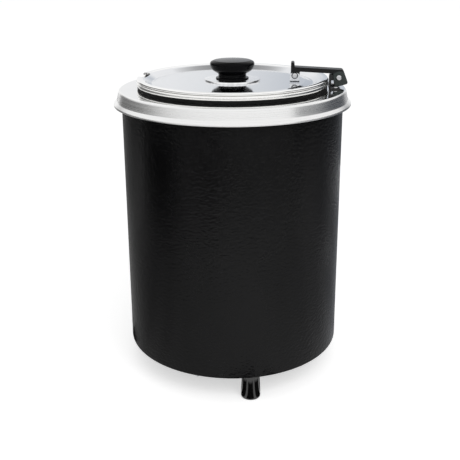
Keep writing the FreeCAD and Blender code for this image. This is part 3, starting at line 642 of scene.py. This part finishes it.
def evaluated_mesh(piece):
    """The piece's final mesh with its modifiers applied. The piece itself is removed."""
    depsgraph = bpy.context.evaluated_depsgraph_get()
    mesh = bpy.data.meshes.new_from_object(piece.evaluated_get(depsgraph), depsgraph=depsgraph)
    bpy.data.objects.remove(piece)
    return mesh


def run_tree(mesh, tree, values):
    """Runs a tree on a mesh. Each input is found by its name and set by its identifier."""
    piece = placed(tree.name, mesh)
    modifier = piece.modifiers.new(tree.name, "NODES")
    modifier.node_group = tree
    for item in tree.interface.items_tree:
        if item.in_out == "INPUT" and item.name in values:
            modifier[item.identifier] = values[item.name]
    return evaluated_mesh(piece)


def merged_shell(mesh):
    """A bmesh of the mesh with its doubled points merged."""
    shell = bmesh.new()
    shell.from_mesh(mesh)
    bmesh.ops.remove_doubles(shell, verts=shell.verts, dist=merge_distance)
    return shell


def smooth(mesh):
    mesh.shade_smooth()
    mesh.set_sharp_from_angle(angle=sharp_angle)
    return mesh


def tidy_shell(mesh):
    """Faces outwards, smooth shading, sharp edges marked."""
    shell = merged_shell(mesh)
    bmesh.ops.recalc_face_normals(shell, faces=shell.faces)
    shell.to_mesh(mesh)
    shell.free()
    return smooth(mesh)


print("sharp edges from", round(math.degrees(sharp_angle)), "degrees")

# %% [markdown]
# ## Turn and dress
# A turned piece starts as a list of corners: radius, height and how round the corner is. When its mesh is done, it
# takes the place of the construction's node and moves with the same body.

# %% Turn and dress
def corner_radius(corner):
    return corner[2] if len(corner) > 2 else 0.0


def turned(corners, slot, segments=256, steps=10):
    """Mesh turned round Z from (radius, height, corner radius) points. One that starts on the axis is open."""
    points = [(c[0] - circle_radius, -c[1], 0) for c in corners]
    count = len(points)
    closed = corners[0][0] > 0
    edges = [(i, (i + 1) % count) for i in range(count if closed else count - 1)]
    profile = bpy.data.meshes.new("profile")
    profile.from_pydata(points, edges, [])
    radii = profile.attributes.new("corner_radius", "FLOAT", "POINT")
    radii.data.foreach_set("value", [corner_radius(c) for c in corners])
    values = {"Segments": segments, "Corner steps": steps, "Finish": finishes[slot]}
    return tidy_shell(run_tree(profile, turning, values))


def dress(name, mesh, body, slot, *nodes):
    """Puts a finished mesh on its body, in the place of the construction's own nodes."""
    mesh.name = name
    piece = placed(name, mesh)
    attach(piece, body)
    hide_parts(*nodes)
    print(name, "has", len(mesh.polygons), "faces, for", ", ".join(nodes))


def dress_turned(name, section, body, slot, node):
    dress(name, turned(section, slot), body, slot, node)


# %% [markdown]
# ## Casing
# The casing is one sheet rolled into a tube, with a flange turned in at the top for the water tank to hang on and
# a narrow hem turned in at the bottom for the base plate. Its height and radius are read from the construction.
# One could draw both faces of the sheet, but they have to stay one thickness apart. So only its outer face is
# drawn, and the other is worked out. The bends are what a rolling machine leaves in 1 mm steel.

# %% Casing
sheet_t = 1.0 * mm
casing_bend = 2.0 * mm
hem_bend = 0.5 * mm
hem_w = 9.0 * mm
well_flange_r = 111.5 * mm


def sheet_section(path, thickness):
    """Closed section of bent sheet: the path is one face, and the metal lies to its right."""
    near = []
    far = []
    last = len(path) - 1
    for i, corner in enumerate(path):
        here = Vector(corner[:2])
        bend = corner_radius(corner)
        into = (here - Vector(path[i - 1][:2])).normalized() if i > 0 else None
        out = (Vector(path[i + 1][:2]) - here).normalized() if i < last else into
        into = into or out
        side_in = Vector((into.y, -into.x))
        side_out = Vector((out.y, -out.x))
        offset = here + (side_in + side_out) * (thickness / (1 + side_in.dot(side_out)))
        left_turn = into.x * out.y - into.y * out.x > 0
        wide = bend + thickness if bend else 0.0
        near.append((here.x, here.y, bend if left_turn else wide))
        far.append((offset.x, offset.y, wide if left_turn else bend))
    return near + far[::-1]


casing_low, casing_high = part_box("casing")
casing_r = casing_high.x
casing_path = [
    (well_flange_r, casing_high.z),
    (casing_r, casing_high.z, casing_bend),
    (casing_r, casing_low.z, hem_bend),
    (casing_r - hem_w, casing_low.z),
]
casing_section = sheet_section(casing_path, sheet_t)
dress_turned("casing_shell", casing_section, "base", "casing_paint", "casing")

# %% [markdown]
# ## Water tank and soup pot
# The pot hangs in a tank of hot water. The tank is deep-drawn: a flat floor, round corners, a straight wall and a
# flange that rests on the casing. The pot has a rolled rim, which shows as a bright line under the lid. Both are
# turned from the sections that they are pressed to. The pot's rim is painted lighter, a painted highlight for that
# bright line, and its inside is painted darker, painted shade under the lid.

# %% Water tank and soup pot
tank_bend = 4.0 * mm
tank_r = 107.0 * mm
tank_low, tank_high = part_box("water_well")
tank_floor = tank_low.z + sheet_t
tank_inner = tank_r - sheet_t
tank_section = [
    (0, tank_low.z),
    (tank_r, tank_low.z, tank_bend + sheet_t),
    (tank_r, casing_high.z, tank_bend),
    (tank_high.x, casing_high.z),
    (tank_high.x, tank_high.z),
    (tank_inner, tank_high.z, tank_bend + sheet_t),
    (tank_inner, tank_floor, tank_bend),
    (0, tank_floor),
]
dress_turned("water_tank", tank_section, "base", "well_steel", "water_well")

pot_corner = 14.0 * mm
rim_round = 2.3 * mm
rim_h = 5.2 * mm
rim_w = 3.8 * mm
along_upright = (0, 0, 1)
pot_low, pot_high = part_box("soup_pot")
pot_r = pot_high.x - rim_w
pot_inner = pot_r - sheet_t
pot_floor = pot_low.z + sheet_t
rim_from = pot_high.z - rim_h
pot_section = [
    (0, pot_low.z),
    (pot_r, pot_low.z, pot_corner),
    (pot_r, rim_from),
    (pot_high.x, rim_from, rim_round),
    (pot_high.x, pot_high.z, rim_round),
    (pot_inner, pot_high.z, rim_round),
    (pot_inner, pot_floor, pot_corner - sheet_t),
    (0, pot_floor),
]
dress_turned("pot", pot_section, "insert", "pot_steel", "soup_pot")
# Painted highlight: the pot's rim, above where it rolls out, is painted lighter than the rest of the pot.
lay_painted_light("pot_steel", (0.96, 0.955, 0.94), kettle_axis, along_upright, full=rim_from, none=rim_from - 0.5 * mm)
# Painted shade: the pot's inner wall is painted darker, as the shade under the lid would make it.
lay_painted_light(
    "pot_steel", (0.42, 0.42, 0.42), kettle_axis, from_upright,
    full=pot_inner + 0.1 * mm, none=pot_inner + 0.4 * mm)

# %% [markdown]
# ## Collar and seal
# The collar is a spun ring: a short guide round the pot, a flat top, a rounded shoulder, a brushed wall and a lip
# that flares out so that fingers can lift the whole insert. A black rubber ring keeps the pot's rim off it.

# %% Collar and seal
collar_t = 1.2 * mm
guide_h = 9.0 * mm
guide_gap = 0.8 * mm
collar_bend = 0.6 * mm
shoulder = 1.8 * mm
spread = 2.2 * mm
flare_h = 3.2 * mm
lip_h = 1.5 * mm
lip_out = 5.8 * mm
collar_low, collar_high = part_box("collar")
lip_r = collar_high.x
wall_r = lip_r - lip_out
guide_r = pot_r + guide_gap
lip_top = collar_low.z + lip_h
collar_path = [
    (guide_r, collar_top - guide_h),
    (guide_r, collar_top, collar_bend),
    (wall_r, collar_top, shoulder),
    (wall_r + spread, lip_top + flare_h, lip_h),
    (lip_r, lip_top, collar_bend),
    (lip_r, collar_low.z),
]
collar_section = sheet_section(collar_path, collar_t)
dress_turned("collar_ring", collar_section, "insert", "collar_steel", "collar")

seal_edge = 0.5 * mm
seal_w = 1.8 * mm
seal_low, seal_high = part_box("rim_seal")
seal_section = [
    (seal_high.x - seal_w, seal_low.z),
    (seal_high.x, seal_low.z, seal_edge),
    (seal_high.x, seal_high.z, seal_edge),
    (seal_high.x - seal_w, seal_high.z),
]
dress_turned("seal_ring", seal_section, "insert", "seal_rubber", "rim_seal")

# %% [markdown]
# ## Lid
# The lid is pressed from polished sheet. Its panel lies lower than its edge, with a shallow gutter round it, and
# the edge is rolled into a bead. The sheet's section is worked out as the casing's was, and the bead takes the
# place of its outer end. The edge is painted brighter than the panel: a painted highlight.

# %% Lid
lid_t = 1.0 * mm
bead_d = 2.9 * mm
bead_reach = 0.2 * mm
bead_inner_round = 0.4 * mm
crest_w = 6.7 * mm
crest_bend = 13.0 * mm
slope_w = 9.5 * mm
recess = 4.3 * mm
panel_bend = 5.0 * mm
gutter_w = 9.0 * mm
gutter_depth = 1.4 * mm
gutter_bend = 1.5 * mm
lid_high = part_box("lid")[1]
lid_r = lid_high.x
crest_z = lid_high.z
panel_z = crest_z - recess
bead_low = crest_z - bead_d - bead_reach
crest_r = lid_r - crest_w
panel_r = crest_r - slope_w
lid_path = [
    (0, panel_z),
    (panel_r - gutter_w, panel_z, panel_bend),
    (panel_r, panel_z - gutter_depth, gutter_bend),
    (crest_r, crest_z, crest_bend),
    (lid_r - bead_d, crest_z),
]
bead = [
    (lid_r, crest_z, bead_d / 2),
    (lid_r, bead_low, bead_d / 2),
    (lid_r - bead_d, bead_low, bead_d / 2),
    (lid_r - bead_d, crest_z - lid_t, bead_inner_round),
]
lid_sheet = sheet_section(lid_path, lid_t)
lid_section = lid_sheet[:4] + bead + lid_sheet[6:]
lid_mesh = turned(lid_section, "lid_steel", segments=320)
# Painted highlight: from the crest outwards, the lid's edge is painted brighter than its panel.
lay_painted_light("lid_steel", (0.96, 0.955, 0.945), kettle_axis, from_upright, full=crest_r, none=crest_r - 1 * mm)
print("lid turned with", len(lid_mesh.polygons), "faces")

# %% [markdown]
# ## Ladle notch
# A notch in the lid's edge lets a ladle stay in the pot. It could be left out of the profile, but a turned profile
# is the same all round. So it is cut through the finished lid with a rounded block, as a punch would do it.

# %% Ladle notch
notch_angle = math.radians(176)
notch_w = 28.0 * mm
notch_depth = 9.5 * mm
notch_corner = 3.0 * mm
notch_height = 40 * mm
notch_steps = 8


def prism(outline, low, height):
    """Upright block with this outline."""
    block = bmesh.new()
    base = block.faces.new([block.verts.new((x, y, low)) for x, y in outline])
    drawn = bmesh.ops.extrude_face_region(block, geom=[base])
    top = [v for v in drawn["geom"] if isinstance(v, bmesh.types.BMVert)]
    bmesh.ops.translate(block, verts=top, vec=(0, 0, height))
    bmesh.ops.recalc_face_normals(block, faces=block.faces)
    return as_mesh(block, "prism")


def cut(mesh, cutter_mesh):
    """The mesh with the cutter taken out of it."""
    cutter = placed("cutter", cutter_mesh)
    piece = placed("cut", mesh)
    boolean = piece.modifiers.new("cut", "BOOLEAN")
    boolean.operation = "DIFFERENCE"
    boolean.solver = "EXACT"
    boolean.object = cutter
    made = evaluated_mesh(piece)
    bpy.data.objects.remove(cutter)
    return tidy_shell(made)


notch_outline = [(2 * notch_depth, -notch_w / 2), (2 * notch_depth, notch_w / 2)]
for centre_y, start in ((notch_w / 2 - notch_corner, 90), (-notch_w / 2 + notch_corner, 180)):
    for i in range(notch_steps + 1):
        turn = math.radians(start + 90 * i / notch_steps)
        notch_outline.append(
            (notch_corner + notch_corner * math.cos(turn), centre_y + notch_corner * math.sin(turn)))
punch = prism(notch_outline, -notch_height / 2, notch_height)
punch.transform(Matrix.Rotation(notch_angle, 4, "Z") @ Matrix.Translation((lid_r - notch_depth, 0, panel_z)))
dress("lid_pressing", cut(lid_mesh, punch), "lid", "lid_steel", "lid")

# %% [markdown]
# ## Knob and its washer
# The knob is a hard black moulding: a thin base, a short neck, a bowl that fingers reach under, a wide band and a
# gently domed face. A dished chrome washer spreads its load on the thin lid. Both are plain turned shapes, so
# their profiles carry all the detail.

# %% Knob and its washer
knob_base_r = 18.0 * mm
knob_base_h = 1.6 * mm
knob_base_round = 0.8 * mm
knob_edge = 0.3 * mm
knob_neck_r = 15.2 * mm
knob_neck_h = 5.4 * mm
knob_neck_round = 1.2 * mm
knob_bowl_r = 22.6 * mm
knob_bowl_h = 10.0 * mm
knob_bowl_round = 7.0 * mm
knob_band_low = 15.6 * mm
knob_band_h = 2.6 * mm
knob_band_round = 3.0 * mm
knob_face_r = 20.0 * mm
knob_face_round = 2.0 * mm
knob_crown = 1.0 * mm
knob_low, knob_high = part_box("lid_knob")
knob_z = knob_low.z
knob_r = knob_high.x
knob_section = [
    (0, knob_z),
    (knob_base_r, knob_z, knob_edge),
    (knob_base_r, knob_z + knob_base_h, knob_base_round),
    (knob_neck_r, knob_z + knob_base_h, knob_neck_round),
    (knob_neck_r, knob_z + knob_neck_h, knob_neck_round),
    (knob_bowl_r, knob_z + knob_bowl_h, knob_bowl_round),
    (knob_r, knob_z + knob_band_low, knob_band_round),
    (knob_r, knob_z + knob_band_low + knob_band_h, knob_band_round),
    (knob_face_r, knob_high.z - knob_crown, knob_face_round),
    (0, knob_high.z),
]
dress_turned("knob", knob_section, "lid", "knob_plastic", "lid_knob")

washer_slope = 0.6 * mm
washer_bend = 0.2 * mm
washer_edge = 0.15 * mm
washer_foot_w = 1.1 * sheet_t
washer_wall = 0.8 * sheet_t
washer_hole_r = 2.6 * mm
washer_low, washer_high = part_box("knob_washer")
washer_r = washer_high.x
washer_section = [
    (washer_hole_r, washer_high.z),
    (washer_r - washer_slope, washer_high.z, washer_bend),
    (washer_r, washer_low.z, washer_edge),
    (washer_r - washer_foot_w, washer_low.z),
    (washer_r - washer_slope - washer_wall, washer_high.z - sheet_t, washer_bend),
    (washer_hole_r, washer_high.z - sheet_t),
]
dress_turned("washer", washer_section, "lid", "washer_chrome", "knob_washer")

# %% [markdown]
# ## A tree that sets copies on points
# Feet, screws and rivets are the same thing again and again. Copying them by hand invites mistakes. This tree puts
# one shape on every point that it is given, turns it, and makes real geometry of the copies. The points are read
# from the construction: each separate solid of a node has its own centre.

# %% A tree that sets copies on points
copying, given = new_tree("copies", [
    ("Shape", "NodeSocketObject"),
    ("Turn", "NodeSocketRotation"),
    ("Finish", "NodeSocketMaterial"),
])
shape_info = add_node(copying, "GeometryNodeObjectInfo", {"Object": given["Shape"]})
places = add_node(copying, "GeometryNodeInstanceOnPoints", {
    "Points": given["Geometry"],
    "Instance": shape_info.outputs["Geometry"],
    "Rotation": given["Turn"],
})
end_tree(copying, places.outputs["Instances"], given["Finish"])


def solid_boxes(node):
    """Lowest and highest corner of each separate solid in a node."""
    shell = merged_shell(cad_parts[node].data)
    left = set(shell.verts)
    boxes = []
    while left:
        group = [left.pop()]
        for vert in group:
            for edge in vert.link_edges:
                other = edge.other_vert(vert)
                if other in left:
                    left.remove(other)
                    group.append(other)
        low = Vector([min(v.co[k] for v in group) for k in range(3)])
        high = Vector([max(v.co[k] for v in group) for k in range(3)])
        boxes.append((low, high))
    shell.free()
    return boxes


def copies(shape_mesh, points, slot, turn=(0, 0, 0)):
    """One mesh with a copy of the shape on each point."""
    shape = placed("shape", shape_mesh)
    cloud = bpy.data.meshes.new("places")
    cloud.from_pydata(points, [], [])
    made = run_tree(cloud, copying, {"Shape": shape, "Turn": turn, "Finish": finishes[slot]})
    bpy.data.objects.remove(shape)
    return tidy_shell(made)


print("base screws found:", len(solid_boxes("base_screws")))

# %% [markdown]
# ## Feet
# Each foot is a moulded cone, a little wider at the floor, with a soft lower edge and a hollow underneath, because
# thick plastic sinks as it cools. It is screwed on from above, so nothing shows outside.

# %% Feet
foot_edge = 1.5 * mm
foot_top_r = 9.5 * mm
foot_top_edge = 0.4 * mm
foot_hollow_r = 6.5 * mm
foot_hollow_h = 3.0 * mm
foot_hollow_round = 0.8 * mm
foot_hollow_edge = 0.6 * mm
foot_low, foot_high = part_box(foot_nodes[0])
foot_r = (foot_high.x - foot_low.x) / 2
foot_section = [
    (0, foot_hollow_h),
    (foot_hollow_r, foot_hollow_h, foot_hollow_round),
    (foot_hollow_r, 0, foot_hollow_edge),
    (foot_r, 0, foot_edge),
    (foot_top_r, foot_high.z, foot_top_edge),
    (0, foot_high.z),
]
foot_mesh = turned(foot_section, "foot_plastic", segments=96, steps=6)
dress("feet", copies(foot_mesh, foot_places, "foot_plastic"), "base", "foot_plastic", *foot_nodes)

# %% [markdown]
# ## Screws
# Pan-head screws hold the base plate, the feet, the control and the knob. Each is turned, and a cross is punched
# in its head. Its sizes are shares of its diameter, as on real screws. Six at the rim of the base show when the
# kettle is tipped up, and the knob's screw shows under the open lid.

# %% Screws
head_share = 2.0
head_rise_share = 0.6
head_round_share = 0.3
head_crown_share = 0.1
cross_length_share = 1.1
cross_width_share = 0.24
cross_depth_share = 0.32
tip_share = 0.6


def cross_punch(diameter):
    """A cross that stands as deep in a head at z = 0 as it stands out of it."""
    length = cross_length_share * diameter
    width = cross_width_share * diameter
    depth = cross_depth_share * diameter
    arm = [(width / 2, width / 2), (width / 2, length / 2), (-width / 2, length / 2)]
    turns = [Matrix.Rotation(k * math.pi / 2, 2) for k in range(4)]
    return prism([turn @ Vector(p) for turn in turns for p in arm], -depth, 2 * depth)


def pan_screw(diameter, length):
    """Screw with its head up: the head's top is at z = 0, and the whole screw is this long."""
    head_r = head_share * diameter / 2
    head_h = head_rise_share * diameter
    r = diameter / 2
    section = [
        (0, 0),
        (head_r, -head_crown_share * head_h, head_round_share * diameter),
        (head_r, -head_h),
        (r, -head_h),
        (r, r - length),
        (tip_share * r, -length),
        (0, -length),
    ]
    return cut(turned(section, "zinc_screw", segments=32, steps=5), cross_punch(diameter))


def screw_set(name, node, diameter, body, heads_up):
    """All the screws of one node, each at its own place."""
    boxes = solid_boxes(node)
    length = boxes[0][1].z - boxes[0][0].z
    points = []
    for low, high in boxes:
        centre = (low + high) / 2
        points.append((centre.x, centre.y, high.z if heads_up else low.z))
    turn = (0, 0, 0) if heads_up else (math.pi, 0, 0)
    mesh = copies(pan_screw(diameter, length), points, "zinc_screw", turn)
    dress(name, mesh, body, "zinc_screw", node)


for name, node, diameter, body, heads_up in (
    ("base_screw_set", "base_screws", 2.8, "base", False),
    ("foot_screw_set", "foot_screws", 4.0, "base", True),
    ("thermostat_screw_set", "thermostat_screws", 3.0, "base", False),
    ("terminal_screw_set", "terminal_screws", 3.0, "base", False),
    ("cutout_screw_set", "cutout_screws", 3.0, "base", False),
    ("knob_fixing_screw", "knob_screw", 5.0, "lid", False),
):
    screw_set(name, node, diameter * mm, body, heads_up)

# %% [markdown]
# ## Rivets and the hinge pin
# Rivets hold the hinge's bracket to the collar and the lug to the lid. Their heads are low domes. The pin's two
# heads are spun over, which leaves a small dimple in the middle. They are turned, laid along their own axes, and
# set where the construction has them.

# %% Rivets and the hinge pin
shank_r = 2.0 * mm
small_shank_r = 1.5 * mm
rivet_head_h = 1.2 * mm
head_edge = 0.1 * mm
dome_h_share = 0.9
dome_r_share = 0.5
rim_share = 0.15
dimple_w_share = 1.5
dimple_h_share = 0.4
small_dimple = 0.3 * mm


def headed_rod(length, rod_r, head_r, head_h, dimple, both=True):
    """Rod along Z, centred, with a domed head at its top and, if asked, at its bottom."""
    half = length / 2
    dome = min(dome_h_share * head_h, dome_r_share * head_r)
    top = [
        (rod_r, half - head_h),
        (head_r, half - head_h, head_edge),
        (head_r, half - rim_share * head_h, dome),
        (dimple_w_share * dimple, half, dimple / 2),
        (0, half - dimple_h_share * dimple),
    ]
    if both:
        bottom = [(r, -z, *rest) for r, z, *rest in top[::-1]]
    else:
        bottom = [(0, -half), (rod_r, -half, head_edge)]
    return bottom + top


for name, node, body, head_h, dimple in (
    ("hinge_pin_spun", "hinge_pin", "insert", 1.4 * mm, 0.7 * mm),
    ("lug_rivet_domed", "lug_rivet", "lid", rivet_head_h, 0.4 * mm),
):
    low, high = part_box(node)
    section = headed_rod(high.y - low.y, shank_r, (high.x - low.x) / 2, head_h, dimple)
    rod = turned(section, "rivet_steel", segments=64, steps=8)
    rod.transform(Matrix.Translation(middle(node)) @ Matrix.Rotation(math.pi / 2, 4, "X"))
    dress(name, rod, body, "rivet_steel", node)

for name, node, body, both in (
    ("bracket_rivet_set", "bracket_rivets", "insert", False),
    ("lug_foot_rivet_set", "lug_foot_rivets", "lid", True),
):
    boxes = solid_boxes(node)
    low, high = boxes[0]
    head_r = (high.x - low.x) / 2
    section = headed_rod(high.z - low.z, small_shank_r, head_r, rivet_head_h, small_dimple, both)
    rivet = turned(section, "rivet_steel", segments=48, steps=6)
    points = [(a + b) / 2 for a, b in boxes]
    dress(name, copies(rivet, points, "rivet_steel"), body, "rivet_steel", node)

# %% [markdown]
# ## Lug on the lid
# The lug is a strip of bright steel bent up on both sides of the hinge's arm, with rounded ends. A block with a
# slot would show dead-straight corners. So a strip is laid out as a grid of points that goes round its two bends,
# its ends are rounded, and a Solidify modifier gives it the thickness of the sheet.

# %% Lug on the lid
lug_t = 1.5 * mm
lug_corner = 3.5 * mm
lug_bend = 1.2 * mm
lug_edge = 0.2 * mm
lug_edge_angle = math.radians(50)
strip_rows = 24
strip_columns = 9
bend_steps = 8
lug_low, lug_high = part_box("lid_lug")
lug_x = (lug_low.x + lug_high.x) / 2
lug_w = lug_high.x - lug_low.x
lug_inner = lug_high.y - lug_t


def bent_strip_path():
    """Points of the strip's inner face from one end to the other, in the YZ plane."""
    floor = lug_low.z + lug_t
    straight = lug_high.z - floor - lug_bend
    path = [(lug_inner, lug_high.z - straight * i / strip_rows) for i in range(strip_rows)]
    for i in range(bend_steps + 1):
        turn = math.radians(90 * i / bend_steps)
        path.append((lug_inner - lug_bend * (1 - math.cos(turn)), floor + lug_bend * (1 - math.sin(turn))))
    return path + [(-y, z) for y, z in path[::-1]]


def strip_half_width(from_end):
    """Half the strip's width, drawn in at the rounded ends."""
    inset = max(0.0, lug_corner - from_end)
    return lug_w / 2 - lug_corner + math.sqrt(max(0.0, lug_corner ** 2 - inset ** 2))


def ease(piece, width, angle):
    """Puts a Bevel modifier on the edges that are sharper than the angle."""
    bevel = piece.modifiers.new("edges", "BEVEL")
    bevel.width = width
    bevel.segments = 2
    bevel.limit_method = "ANGLE"
    bevel.angle_limit = angle


strip = bmesh.new()
rows = []
for y, z in bent_strip_path():
    half_width = strip_half_width(lug_high.z - z)
    across = [-half_width + 2 * half_width * k / (strip_columns - 1) for k in range(strip_columns)]
    rows.append([strip.verts.new((lug_x + x, y, z)) for x in across])
for row, following in zip(rows, rows[1:]):
    for k in range(strip_columns - 1):
        strip.faces.new((row[k], row[k + 1], following[k + 1], following[k]))
lug_mesh = as_mesh(strip, "lug")
lug_mesh.materials.append(finishes["lug_steel"])
lug_piece = placed("lug strip", lug_mesh)
thick = lug_piece.modifiers.new("thickness", "SOLIDIFY")
thick.thickness = lug_t
thick.offset = 1.0
ease(lug_piece, lug_edge, lug_edge_angle)
dress("lug", tidy_shell(evaluated_mesh(lug_piece)), "lid", "lug_steel", "lid_lug")

# %% [markdown]
# ## Pieces with eased edges
# Pressed and moulded pieces have no knife edges: dies and paint leave them slightly round, and that thin line of
# light is what makes them look solid. The construction's meshes of the arm, the bracket, the base plate, the
# control and the gland have the right shape, so each is copied, its triangles are joined into flat faces, and a
# Bevel modifier eases its edges. Wide faces are shaded flat, or smooth shading would blotch them. Each ear of the
# arm also gets the low round boss that is pressed up under the pin's head.

# %% Pieces with eased edges
flat_angle = math.radians(0.6)
bevel_angle = math.radians(35)
wide_face = 20 * mm * mm
pressed_edge = 0.25 * mm
boss_hole_r = 2.1 * mm
boss_r = 5.8 * mm
boss_h = 0.3 * mm
boss_round = 0.25 * mm


def eased_copy(node, slot, width):
    """A copy of a node's mesh with edges eased by this width."""
    shell = merged_shell(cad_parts[node].data)
    bmesh.ops.dissolve_limit(shell, angle_limit=flat_angle, verts=shell.verts, edges=shell.edges)
    mesh = as_mesh(shell, node)
    mesh.materials.append(finishes[slot])
    piece = placed("eased copy", mesh)
    ease(piece, width, bevel_angle)
    made = smooth(evaluated_mesh(piece))
    for face in made.polygons:
        face.use_smooth = face.area < wide_face
    return made


arm_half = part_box("hinge_arm")[1].y
boss_section = [
    (boss_hole_r, 0),
    (boss_r, 0),
    (boss_r, boss_h, boss_round),
    (boss_hole_r, boss_h),
]
arm_shell = bmesh.new()
arm_shell.from_mesh(eased_copy("hinge_arm", "arm_paint", pressed_edge))
for side in (-1, 1):
    boss = turned(boss_section, "arm_paint", segments=64, steps=4)
    seat = Matrix.Translation((pin_centre.x, side * arm_half, pin_centre.z))
    boss.transform(seat @ Matrix.Rotation(-side * math.pi / 2, 4, "X"))
    arm_shell.from_mesh(boss)
arm_mesh = as_mesh(arm_shell, "arm")
arm_mesh.materials.append(finishes["arm_paint"])
dress("arm", arm_mesh, "lid", "arm_paint", "hinge_arm")

for name, node, slot, edge, body in (
    ("bracket", "hinge_bracket", "bracket_paint", pressed_edge, "insert"),
    ("bottom_plate", "base_plate", "base_paint", pressed_edge, "base"),
    ("control_grip", "control_knob", "control_plastic", 0.3 * mm, "control"),
    ("gland", "cable_gland", "gland_plastic", 0.2 * mm, "base"),
):
    dress(name, eased_copy(node, slot, edge), body, slot, node)

# %% [markdown]
# ## Pieces inside the casing
# Heater, thermostat, cut-out, terminals and leads lie between the tank and the base plate, where no view reaches
# while the kettle is whole. Their construction meshes stay as they are and only get their finishes.

# %% Pieces inside the casing
inner_slots = {
    "heater_plate": "heater_aluminium",
    "heater_element": "element_steel",
    "heater_clamp": "zinc_screw",
    "clamp_stud": "zinc_screw",
    "clamp_nut": "zinc_screw",
    "thermostat": "control_body",
    "sensor_phial": "phial_copper",
    "thermal_cutout": "cutout_plastic",
    "terminal_block": "terminal_plastic",
    "gland_nut": "gland_plastic",
    "internal_leads": "lead_silicone",
    "control_spindle": "spindle_steel",
}
for node, slot in inner_slots.items():
    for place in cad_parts[node].material_slots:
        place.material = finishes[slot]
print(len(inner_slots), "inner pieces finished")
